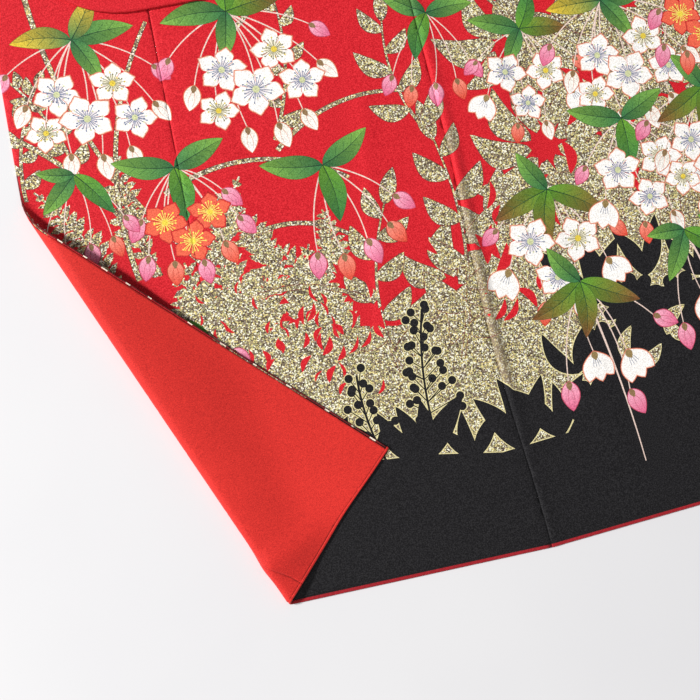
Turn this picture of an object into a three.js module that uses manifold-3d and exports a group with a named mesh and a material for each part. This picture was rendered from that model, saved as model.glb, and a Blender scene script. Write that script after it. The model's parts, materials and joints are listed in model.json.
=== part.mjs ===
// A furisode, the long-sleeved formal kimono, laid out on a flat surface with its back up and
// its two fronts spread at the hem. The corner of the wearer's left front is folded over, so
// that its lining shows. Millimetres, +Z up, +Y towards the collar, -X the wearer's left.
import * as THREE from "three";
import { mergeVertices } from "three/addons/utils/BufferGeometryUtils.js";
import Module from "manifold-3d";

const wasm = await Module();
wasm.setup();

// Cloth
const WALL = 1.4; // outer silk and its lining, as one wall
const LINING = 0.8; // lining on its own, where the folded corner shows it
const SEAM_GAP = 0.3;
const LAYER_GAP = 0.3;

// Cut of the body
const BODY_LENGTH = 1650; // shoulder fold to hem
const BACK_WIDTH = 305; // each half, at the hem
const SHOULDER_WIDTH = 325; // each half, at the shoulder
const FRONT_WIDTH = 278; // at the hem
const OVERLAP_WIDTH = 148; // the narrow front panel, at the hem
const OVERLAP_TAPER = 12; // how much narrower it is where the collar starts
const COLLAR_START = 830; // hem to collar, along the free edge
const NECK_HALF = 90;
const NECK_DIP = 25;
const SIDE_SEAM = 1270; // hem to the opening under the arm
const BACK_ROWS = 36;

// Sleeve
const SLEEVE_WIDTH = 340;
const SLEEVE_LENGTH = 1080;
const SLEEVE_ROUND = 100; // rounded lower outer corner
const SLEEVE_WALL = 1.2;
const SLEEVE_HOLLOW = 0.5; // between its two layers
const SLEEVE_RIM = 3;
const CUFF = 230;

// Collar
const COLLAR_WIDTH = 56;
const COLLAR_THICK = 2.4; // folded in half along its length
const OVER_COLLAR_THICK = 1;
const OVER_COLLAR_INSET = 1;
const OVER_COLLAR_SHARE = 0.62; // of the collar's length
const COLLAR_SET_IN = 30; // its middle line, from the cut edge of the front
const COLLAR_END_GAP = 45; // its end, from the free edge

// Hem roll: the lining turned out past the outer silk
const ROLL_OUT = 3.4;
const ROLL_SECTION = [
  { share: 0, rise: 0.15 },
  { share: 0.7, rise: 0 },
  { share: 1, rise: 0.45 },
  { share: 1, rise: 0.95 },
  { share: 0.7, rise: 1.4 },
  { share: 0, rise: 1.25 },
];

// How it is laid
const FAN = THREE.MathUtils.degToRad(2.9); // each front turns this much about its side seam's foot
const HEM_RISE = THREE.MathUtils.degToRad(3.55); // and its hem a little more
const SEAM_BOW = 7; // each side seam bows outward this much near the hem
const BOW_ROWS = 9; // over this many rows of the back's net
const FOLD_EDGE_HEIGHT = 415; // where the corner's fold leaves the free edge, above the hem
const FOLD_HEM_INSET = 250; // where it leaves the hem, from the side seam's foot
const FOLD_RADIUS_TOP = 8; // the fold is a soft roll at the free edge
const FOLD_RADIUS_HEM = 2.8; // and nearly pressed at the hem
const FLAP_CLEAR = 0.4;
const FLAP_SETTLE = 13; // it comes down on the cloth below within this many fold radii
const LINING_EDGE = 2.5; // the lining stops this far short of the free edge
const TUCK_HEIGHT = 4.6; // soft tuck of spare cloth along each side seam
const TUCK_WIDTH = 21;
const LIFT_MARGIN = 45; // upper layers rise this far before what they lie over
const LIFT_RUN = 60;

const SHEET_TOP = WALL + LAYER_GAP; // what lies on one layer starts here
const ON_COLLAR = SHEET_TOP + COLLAR_THICK + LAYER_GAP;
const ON_OVER_COLLAR = ON_COLLAR + OVER_COLLAR_THICK + LAYER_GAP;

const lerp = THREE.MathUtils.lerp;
const mix = (a, b, f) => a.map((value, i) => lerp(value, b[i], f));
const smooth = (f) => THREE.MathUtils.smoothstep(f, 0, 1);

// Plan places of one spread front, on the wearer's left: out from the side seam's foot along
// its hem, and up from its hem.
function onFront(out, up) {
  return [
    -BACK_WIDTH - out * Math.cos(HEM_RISE) + up * Math.sin(FAN),
    out * Math.sin(HEM_RISE) + up * Math.cos(FAN),
  ];
}
const freeEdgeOut = (up) => FRONT_WIDTH + OVERLAP_WIDTH - (OVERLAP_TAPER * up) / COLLAR_START;
const freeEdge = (up) => onFront(freeEdgeOut(up), up);
const overlapSeam = (up) => onFront(FRONT_WIDTH, up);
const BOW_LENGTH = (BODY_LENGTH * BOW_ROWS) / BACK_ROWS;
const bow = (y) => SEAM_BOW * Math.sin(Math.PI * Math.min(y / BOW_LENGTH, 1)) ** 2;
const backSide = (y) => -lerp(BACK_WIDTH, SHOULDER_WIDTH, y / BODY_LENGTH) - bow(y);
const frontSide = (y) => [backSide(y), y];

// Folding the corner
const foldTop = freeEdge(FOLD_EDGE_HEIGHT);
const foldHem = onFront(FOLD_HEM_INSET, 0);
const foldLength = Math.hypot(foldTop[0] - foldHem[0], foldTop[1] - foldHem[1]);
const foldAlong = [(foldTop[0] - foldHem[0]) / foldLength, (foldTop[1] - foldHem[1]) / foldLength];
const foldOut = [-foldAlong[1], foldAlong[0]];

function foldPlace([x, y]) {
  const from = [x - foldHem[0], y - foldHem[1]];
  const along = from[0] * foldAlong[0] + from[1] * foldAlong[1];
  const past = from[0] * foldOut[0] + from[1] * foldOut[1];
  return { along, past, radius: lerp(FOLD_RADIUS_HEM, FOLD_RADIUS_TOP, along / foldLength) };
}

// A point of the folded front: rise is its height in the wall, from the underside at rest.
function folded(point, rise) {
  const { along, past, radius } = foldPlace(point);
  if (past <= 0) return [point[0], point[1], rise];
  const middle = radius + WALL / 2;
  const turn = Math.min(past / middle, Math.PI);
  const arm = radius + WALL - rise;
  const run = past - turn * middle;
  const drop = (2 * radius - FLAP_CLEAR) * smooth(run / (FLAP_SETTLE * radius));
  const out = arm * Math.sin(turn) - run;
  return [
    foldHem[0] + along * foldAlong[0] + out * foldOut[0],
    foldHem[1] + along * foldAlong[1] + out * foldOut[1],
    WALL + radius - arm * Math.cos(turn) - drop,
  ];
}
const flat = (point, rise) => [point[0], point[1], rise];

// Where a straight edge of the corner has turned by an angle round the fold.
function turnedPoint(start, end, turn) {
  const a = foldPlace(start);
  const b = foldPlace(end);
  const need = (p) => turn * (p.radius + WALL / 2) - p.past;
  return mix(start, end, need(a) / (need(a) - need(b)));
}

function crossing(a, b, c, d) {
  const [rx, ry, sx, sy] = [b[0] - a[0], b[1] - a[1], d[0] - c[0], d[1] - c[1]];
  const f = ((c[0] - a[0]) * sy - (c[1] - a[1]) * sx) / (rx * sy - ry * sx);
  return mix(a, b, f);
}

// Closed walls from a net of points. A net is an array of rows, and each row an array of points.
class Shell {
  constructor() {
    this.points = [];
    this.faces = [];
  }
  add(point) {
    return this.points.push(point) - 1;
  }
  net(rows) {
    return rows.map((row) => row.map((point) => this.add(point)));
  }
  quad(a, b, c, d) {
    this.faces.push([a, b, c], [a, c, d]);
  }
  skin(net, facingUp) {
    for (let r = 0; r + 1 < net.length; r++)
      for (let c = 0; c + 1 < net[r].length; c++) {
        const [a, b, d, e] = [net[r][c], net[r][c + 1], net[r + 1][c + 1], net[r + 1][c]];
        this.quad(a, facingUp ? b : e, d, facingUp ? e : b);
      }
  }
  band(low, high) {
    for (let i = 0; i + 1 < low.length; i++) this.quad(low[i], low[i + 1], high[i + 1], high[i]);
  }
  // mirrored turns the shape into the one for the other side of the garment
  geometry(mirrored = false) {
    const side = mirrored ? -1 : 1;
    const positions = this.points.flatMap(([x, y, z]) => [side * x, y, z]);
    const index = this.faces.flatMap(([a, b, c]) => (mirrored ? [a, c, b] : [a, b, c]));
    const made = new THREE.BufferGeometry();
    made.setAttribute("position", new THREE.Float32BufferAttribute(positions, 3));
    made.setIndex(index);
    return withoutSlivers(mergeVertices(made, 1e-3));
  }
}

function withoutSlivers(geometry) {
  const kept = [];
  const index = geometry.index.array;
  for (let i = 0; i < index.length; i += 3) {
    const [a, b, c] = [index[i], index[i + 1], index[i + 2]];
    if (a !== b && b !== c && a !== c) kept.push(a, b, c);
  }
  geometry.setIndex(kept);
  return geometry;
}

function outline(net) {
  const last = net.length - 1;
  return [
    ...net[0].slice(0, -1),
    ...net.map((row) => row.at(-1)).slice(0, -1),
    ...net[last].slice(1).reverse(),
    ...net.map((row) => row[0]).slice(1).reverse(),
    net[0][0],
  ];
}

// One layer of cloth: plan is a net of plan points, low and high the heights in its wall.
function cloth(plan, place, low, high, mirrored) {
  const shell = new Shell();
  const under = shell.net(plan.map((row) => row.map((point) => place(point, low))));
  const over = shell.net(plan.map((row) => row.map((point) => place(point, high))));
  shell.skin(over, true);
  shell.skin(under, false);
  shell.band(outline(under), outline(over));
  return shell.geometry(mirrored);
}

const spread = (count) => Array.from({ length: count + 1 }, (_, i) => i / count);

// A net between pairs of end points, pulled in at its ends by half a seam gap.
function netBetween(pairs, columns, insets = [SEAM_GAP / 2, SEAM_GAP / 2]) {
  return pairs.map(([left, right]) => {
    const length = Math.hypot(right[0] - left[0], right[1] - left[1]);
    const start = length > 1 ? insets[0] / length : 0;
    const end = length > 1 ? 1 - insets[1] / length : 1;
    return columns.map((f) => mix(left, right, lerp(start, end, f)));
  });
}

// Rows that run with the fold, from the free edge to the hem, for the folded corner. The first
// lies on the fold and the last is the corner's tip.
const corner = freeEdge(0);
const seamFoot = overlapSeam(0);
const ROLL_STEPS = 8;
const FLAP_STEPS = 7;
const LINING_START = 2; // roll steps before the lining starts, so that it clears the surface
const turnedRow = (turn) => [
  turnedPoint(foldTop, corner, turn),
  turnedPoint(foldHem, corner, turn),
];
const rolledRows = (start) =>
  spread(ROLL_STEPS)
    .slice(start)
    .map((f) => turnedRow(f * Math.PI));
const [flapEdge, flapHem] = turnedRow(Math.PI);
const seamShare = (flapHem[0] - seamFoot[0]) / (flapHem[0] - corner[0]);
const flapRow = (share) => [mix(flapEdge, corner, share), mix(flapHem, corner, share)];
const cornerRows = (start) => [
  ...rolledRows(start),
  ...[0.5, 1].map((f) => flapRow(f * seamShare)),
  ...spread(FLAP_STEPS)
    .slice(1)
    .map((f) => flapRow(lerp(seamShare, 1, f))),
];
const isPastSeam = ([, hemPoint]) => hemPoint[0] < seamFoot[0] + 1e-6;
const atSeam = (row) => crossing(row[0], row[1], seamFoot, overlapSeam(COLLAR_START));
const overlapCorner = (start) =>
  cornerRows(start).map((row) => [row[0], isPastSeam(row) ? row[1] : atSeam(row)]);
const frontCorner = (start) =>
  [...rolledRows(start), flapRow(0.5 * seamShare)]
    .map((row) => [atSeam(row), row[1]])
    .concat([[seamFoot, seamFoot]]);

// Upper ends of the spread fronts, which lie under the back and the sleeve. The cut edge that
// takes the collar runs from the free edge up to the neck.
const collarFoot = freeEdge(COLLAR_START);
const neckPoint = [-NECK_HALF, BODY_LENGTH];
const shoulderPoint = [-SHOULDER_WIDTH, BODY_LENGTH];
const overlapTip = crossing(seamFoot, overlapSeam(COLLAR_START), collarFoot, neckPoint);
const foldSeam = atSeam([foldTop, foldHem]);
const frontNeck = [-372, 1300];
const frontArm = [-345, 1460];
const underBackLow = [-262, 1380];
const underBackHigh = [-185, 1500];
const sideTop = frontSide(SIDE_SEAM);

const OVERLAP_RUNGS = 9;
const overlapAbove = (edgeStart, seamStart) =>
  spread(OVERLAP_RUNGS)
    .slice(1)
    .map((f) => [mix(edgeStart, collarFoot, f), mix(seamStart, overlapTip, f)]);

// Rungs of the front: left is on the overlap's seam and then on the edge to the shoulder, right
// is on the hem, then on the side seam, and then on the edge that lies under the back.
const foldedFoot = [
  { left: overlapSeam(150), right: onFront(150, 0) },
  { left: overlapSeam(240), right: onFront(70, 0) },
  { left: overlapSeam(320), right: onFront(0, 0) },
];
const flatFoot = [{ left: overlapSeam(0), right: onFront(0, 0) }];
const BOW_TOP_RUNG = 570; // where the rung from the top of the bow meets the overlap's seam
const bowRungs = (start) =>
  spread(BOW_ROWS)
    .slice(1)
    .map((f) => ({
      left: overlapSeam(lerp(start, BOW_TOP_RUNG, f)),
      right: frontSide(f * BOW_LENGTH),
    }));
const frontAbove = [
  { left: overlapSeam(700), right: frontSide(600) },
  { left: overlapSeam(840), right: frontSide(820) },
  { left: overlapTip, right: frontSide(1040) },
  { left: mix(overlapTip, frontNeck, 0.5), right: sideTop },
  { left: frontNeck, right: underBackLow },
  { left: frontArm, right: underBackHigh },
  { left: shoulderPoint, right: neckPoint },
];
const rungEnds = (rungs) => rungs.map(({ left, right }) => [left, right]);

const PANEL_COLUMNS = spread(9);

// The collar, from its end by the left free edge to the middle of the neck, and on to the other
const cutEdge = Math.hypot(neckPoint[0] - collarFoot[0], neckPoint[1] - collarFoot[1]);
const cutAlong = [(neckPoint[0] - collarFoot[0]) / cutEdge, (neckPoint[1] - collarFoot[1]) / cutEdge];
const collarEnd = [
  collarFoot[0] + COLLAR_END_GAP * cutAlong[0] + COLLAR_SET_IN * cutAlong[1],
  collarFoot[1] + COLLAR_END_GAP * cutAlong[1] - COLLAR_SET_IN * cutAlong[0],
];
const collarTurns = [
  [-330, 1270],
  [-262, 1400],
  [-185, 1530],
  [-135, 1612],
  [-95, 1646],
  [-50, 1656],
];
const neckMiddle = [0, BODY_LENGTH + 4];
const halfCollar = [collarEnd, ...collarTurns];
const otherHalf = halfCollar.map(([x, y]) => [-x, y]).reverse();
const collarPath = [...halfCollar, neckMiddle, ...otherHalf];

// A path cut into steps of about one length
function stepped(path, step) {
  const made = path.slice(1).flatMap((end, i) => {
    const count = Math.ceil(Math.hypot(end[0] - path[i][0], end[1] - path[i][1]) / step);
    return spread(count)
      .slice(0, -1)
      .map((f) => mix(path[i], end, f));
  });
  return [...made, path.at(-1)];
}
const COLLAR_STEP = 40;
const collarMiddle = stepped(collarPath, COLLAR_STEP);

// Rows across a strip that follows a middle line
function strip(middle, width, columns) {
  const last = middle.length - 1;
  return middle.map((point, i) => {
    const [before, after] = [middle[Math.max(i - 1, 0)], middle[Math.min(i + 1, last)]];
    const length = Math.hypot(after[0] - before[0], after[1] - before[1]);
    const across = [-(after[1] - before[1]) / length, (after[0] - before[0]) / length];
    return columns.map((f) => point.map((value, k) => value - across[k] * (f - 0.5) * width));
  });
}

// Heights of what lies under the upper layers
function distanceTo(a, b, [x, y]) {
  const [ux, uy] = [b[0] - a[0], b[1] - a[1]];
  const f = ((x - a[0]) * ux + (y - a[1]) * uy) / (ux * ux + uy * uy);
  const near = mix(a, b, THREE.MathUtils.clamp(f, 0, 1));
  return Math.hypot(x - near[0], y - near[1]);
}
function isInside(ring, [x, y]) {
  let inside = false;
  ring.forEach(([ax, ay], i) => {
    const [bx, by] = ring[(i + 1) % ring.length];
    if (ay > y !== by > y && x < ax + ((y - ay) / (by - ay)) * (bx - ax)) inside = !inside;
  });
  return inside;
}
function distanceOutside(ring, point) {
  if (isInside(ring, point)) return 0;
  return Math.min(...ring.map((start, i) => distanceTo(start, ring[(i + 1) % ring.length], point)));
}
const liftAt = (distance) => 1 - smooth((distance - LIFT_MARGIN) / LIFT_RUN);

const underBack = [sideTop, underBackLow, underBackHigh, neckPoint, shoulderPoint, frontArm, frontNeck];
const spreadFront = [
  corner,
  ...[collarFoot, overlapTip, frontNeck, frontArm, shoulderPoint, neckPoint],
  ...[underBackHigh, underBackLow, sideTop, frontSide(0)],
];
const onFrontLayer = (ring, [x, y]) => SHEET_TOP * liftAt(distanceOutside(ring, [-Math.abs(x), y]));
function onAllLayers(ring, point) {
  const nearest = Math.min(
    ...collarPath.slice(1).map((end, i) => distanceTo(collarPath[i], end, point)),
  );
  const rise = (ON_OVER_COLLAR - SHEET_TOP) * liftAt(nearest - COLLAR_WIDTH / 2);
  return onFrontLayer(ring, point) + rise;
}

const materials = {
  red: { color: 0xc8202a, roughness: 0.72 },
  lining: { color: 0xd8331f, roughness: 0.75 },
};
function material(name) {
  return new THREE.MeshStandardMaterial({ ...materials[name], metalness: 0 });
}

const furisode = new THREE.Group();
function piece(name, geometry, finish) {
  const mesh = new THREE.Mesh(geometry, material(finish));
  mesh.name = name;
  furisode.add(mesh);
}

// Back halves, joined at the centre seam, with a soft tuck beside each side seam
const tuckColumns = [0, 0.1, 0.22, 0.36, 0.5, 0.66, 0.82, 1].map((f) => (f * TUCK_WIDTH) / BACK_WIDTH);
const backColumns = [...tuckColumns, 0.2, 0.32, 0.44, 0.56, 0.67, 0.78, 0.89, 1];
const TUCK_END = 1130; // above the hem, where the tucks have faded out
const TUCK_FADE = 700;

function tuck([x, y]) {
  const across = (x - backSide(y)) / TUCK_WIDTH;
  if (across >= 1) return 0;
  const fade = 1 - smooth((y - TUCK_END + TUCK_FADE) / TUCK_FADE);
  return TUCK_HEIGHT * fade * Math.sin(Math.PI * across ** 0.6) ** 2;
}
function neckline(x) {
  const across = Math.min(Math.abs(x) / NECK_HALF, 1);
  return BODY_LENGTH - NECK_DIP * (1 - across ** 2);
}
const backNet = spread(BACK_ROWS).map((f) =>
  backColumns.map((column) => {
    const x = lerp(backSide(f * BODY_LENGTH) + SEAM_GAP / 2, -SEAM_GAP / 2, column);
    return [x, f * neckline(x)];
  }),
);
function layBack(point, rise) {
  return [point[0], point[1], onAllLayers(underBack, point) + tuck(point) + rise];
}
piece("back_left", cloth(backNet, layBack, 0, WALL), "red");
piece("back_right", cloth(backNet, layBack, 0, WALL, true), "red");

// Fronts and overlaps. The left pair is folded over at the corner.
const FOLDED_FOOT_TOP = 345; // the bow's rungs start here on the overlap's seam, above the fold
const aboveFold = rungEnds([...foldedFoot, ...bowRungs(FOLDED_FOOT_TOP), ...frontAbove]);
const foldedFront = [...frontCorner(0).reverse(), ...aboveFold];
const flatFront = rungEnds([...flatFoot, ...bowRungs(0), ...frontAbove]);
const foldedOverlap = [...overlapCorner(0).reverse(), ...overlapAbove(foldTop, foldSeam)];
const flatOverlap = [[corner, seamFoot], ...overlapAbove(corner, seamFoot)];
piece("front_left", cloth(netBetween(foldedFront, PANEL_COLUMNS), folded, 0, WALL), "red");
piece("front_right", cloth(netBetween(flatFront, PANEL_COLUMNS), flat, 0, WALL, true), "red");
piece("overlap_left", cloth(netBetween(foldedOverlap, PANEL_COLUMNS), folded, 0, WALL), "red");
piece("overlap_right", cloth(netBetween(flatOverlap, PANEL_COLUMNS), flat, 0, WALL, true), "red");

// Lining that shows on the folded corner
const liningFront = frontCorner(LINING_START).reverse();
const liningOverlap = overlapCorner(LINING_START).reverse();
const liningTop = -SEAM_GAP;
const liningUnder = liningTop - LINING;
const liningInsets = [LINING_EDGE, SEAM_GAP / 2];
const liningWall = (rows, insets) =>
  cloth(netBetween(rows, PANEL_COLUMNS, insets), folded, liningUnder, liningTop);
piece("lining_front_left", liningWall(liningFront), "lining");
piece("lining_overlap_left", liningWall(liningOverlap, liningInsets), "lining");

// Hem rolls: a rounded strip along each panel's hem, from one station to the next
function hemRoll(stations, place, mirrored) {
  const shell = new Shell();
  const rings = stations.map((at) =>
    ROLL_SECTION.map(({ share, rise }) =>
      shell.add(place(at(-SEAM_GAP - share * (ROLL_OUT - SEAM_GAP)), rise)),
    ),
  );
  const count = ROLL_SECTION.length;
  for (let r = 0; r + 1 < rings.length; r++)
    for (let i = 0; i < count; i++) {
      const next = (i + 1) % count;
      shell.quad(rings[r][i], rings[r][next], rings[r + 1][next], rings[r + 1][i]);
    }
  const [first, end] = [rings[0], rings.at(-1)];
  shell.quad(first[5], first[4], first[1], first[0]);
  shell.quad(first[4], first[3], first[2], first[1]);
  shell.quad(end[0], end[1], end[4], end[5]);
  shell.quad(end[1], end[2], end[3], end[4]);
  return shell.geometry(mirrored);
}
const between = (start, end, count) => spread(count).map((f) => lerp(start, end, f));
const hemStations = (outs) => outs.map((out) => (up) => onFront(out, up));
const [frontStart, frontEnd] = [SEAM_GAP / 2, FRONT_WIDTH - SEAM_GAP / 2];
const [overlapStart, overlapEnd] = [FRONT_WIDTH + SEAM_GAP / 2, FRONT_WIDTH + OVERLAP_WIDTH];
const frontMiddle = FRONT_WIDTH / 2;
const beforeFold = FOLD_HEM_INSET - 6;
const foldedFrontHem = [frontStart, frontMiddle, ...between(beforeFold, frontEnd, 16)];
const foldedOverlapHem = between(overlapStart, overlapEnd, 14);
const flatFrontHem = [frontStart, frontMiddle, frontEnd];
const flatOverlapHem = [overlapStart, overlapEnd];
piece("hem_roll_front_left", hemRoll(hemStations(foldedFrontHem), folded), "lining");
piece("hem_roll_overlap_left", hemRoll(hemStations(foldedOverlapHem), folded), "lining");
piece("hem_roll_front_right", hemRoll(hemStations(flatFrontHem), flat, true), "lining");
piece("hem_roll_overlap_right", hemRoll(hemStations(flatOverlapHem), flat, true), "lining");
const backStations = backNet[0]
  .map(([x]) => x)
  .reverse()
  .map((x) => (up) => [x, up]);
const layBackHem = ([x, y], rise) => [x, y, tuck([x, 0]) + rise];
piece("hem_roll_back_left", hemRoll(backStations, layBackHem), "lining");
piece("hem_roll_back_right", hemRoll(backStations, layBackHem, true), "lining");

// Sleeves: two layers of cloth, joined along the top fold, the bottom and the outer edge below
// the cuff, and open along the inner edge
const sleeveBottom = BODY_LENGTH - SLEEVE_LENGTH;
const sleeveInner = -SHOULDER_WIDTH - SEAM_GAP / 2;
const sleeveOuter = -SHOULDER_WIDTH - SLEEVE_WIDTH;
const SLEEVE_COLUMNS = 11;
const ROUND_ROWS = 7;

function sleeveEdge(y) {
  const below = Math.max(sleeveBottom + SLEEVE_ROUND - y, 0);
  return sleeveOuter + SLEEVE_ROUND - Math.sqrt(SLEEVE_ROUND ** 2 - below ** 2);
}
const roundHeights = spread(ROUND_ROWS).map(
  (f) => sleeveBottom + SLEEVE_ROUND * (1 - Math.cos((f * Math.PI) / 2)),
);
const sleeveHeights = [
  ...roundHeights,
  ...between(sleeveBottom + SLEEVE_ROUND, BODY_LENGTH - CUFF, 14).slice(1),
  ...between(BODY_LENGTH - CUFF, BODY_LENGTH - SLEEVE_RIM, 5).slice(1),
  BODY_LENGTH,
];
const sleeveNet = sleeveHeights.map((y) => {
  const edge = sleeveEdge(y);
  return [edge, ...between(edge + SLEEVE_RIM, sleeveInner, SLEEVE_COLUMNS)].map((x) => [x, y]);
});
const sleeveTop = sleeveHeights.length - 2;
const cuffRow = sleeveHeights.indexOf(BODY_LENGTH - CUFF);
const isJoined = (row, column) => row === 0 || row === sleeveTop || (column === 0 && row < cuffRow);

function sleeve(mirrored) {
  const levels = [0, SLEEVE_WALL, SLEEVE_WALL + SLEEVE_HOLLOW, 2 * SLEEVE_WALL + SLEEVE_HOLLOW];
  const shell = new Shell();
  const place = (point, level) => [...point, onAllLayers(spreadFront, point) + level];
  const nets = levels.map((level) => shell.net(sleeveNet.map((row) => row.map((p) => place(p, level)))));
  const rows = sleeveNet.length - 1;
  const columns = sleeveNet[0].length - 1;
  const exists = (r, c) => r >= 0 && r < rows && c >= 0 && c < columns;
  for (let r = 0; r < rows; r++)
    for (let c = 0; c < columns; c++) {
      const ring = (net) => [net[r][c], net[r][c + 1], net[r + 1][c + 1], net[r + 1][c]];
      const facingDown = ([a, b, d, e]) => [a, e, d, b];
      shell.quad(...ring(nets[3]));
      shell.quad(...facingDown(ring(nets[0])));
      const joined = isJoined(r, c);
      if (!joined) {
        shell.quad(...ring(nets[1]));
        shell.quad(...facingDown(ring(nets[2])));
      }
      const sides = [[r - 1, c], [r, c + 1], [r + 1, c], [r, c - 1]];
      sides.forEach(([nr, nc], i) => {
        const edge = (net) => [ring(net)[i], ring(net)[(i + 1) % 4]];
        const wall = (low, high) => shell.band(edge(nets[low]), edge(nets[high]));
        if (!exists(nr, nc)) {
          wall(0, 1);
          wall(2, 3);
          if (joined) wall(1, 2);
        } else if (joined && !isJoined(nr, nc)) wall(1, 2);
      });
    }
  return shell.geometry(mirrored);
}
piece("sleeve_left", sleeve(false), "red");
piece("sleeve_right", sleeve(true), "red");

// Collar and the over-collar upon its middle length
const COLLAR_COLUMNS = [0, 0.5, 1];
const layCollar = (point, rise) => [...point, onFrontLayer(spreadFront, point) + rise];
const collarNet = strip(collarMiddle, COLLAR_WIDTH, COLLAR_COLUMNS);
const overSteps = Math.round((collarMiddle.length * (1 - OVER_COLLAR_SHARE)) / 2);
const overMiddle = collarMiddle.slice(overSteps, collarMiddle.length - overSteps);
const overNet = strip(overMiddle, COLLAR_WIDTH - 2 * OVER_COLLAR_INSET, COLLAR_COLUMNS);
const overRise = ON_COLLAR - SHEET_TOP;
piece("collar", cloth(collarNet, layCollar, 0, COLLAR_THICK), "red");
piece("over_collar", cloth(overNet, layCollar, overRise, overRise + OVER_COLLAR_THICK), "red");

// The origin is under the middle of the whole
const bounds = new THREE.Box3().setFromObject(furisode);
const middle = bounds.getCenter(new THREE.Vector3());
furisode.children.forEach((mesh) => mesh.geometry.translate(-middle.x, -middle.y, -bounds.min.z));

export default furisode;
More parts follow.
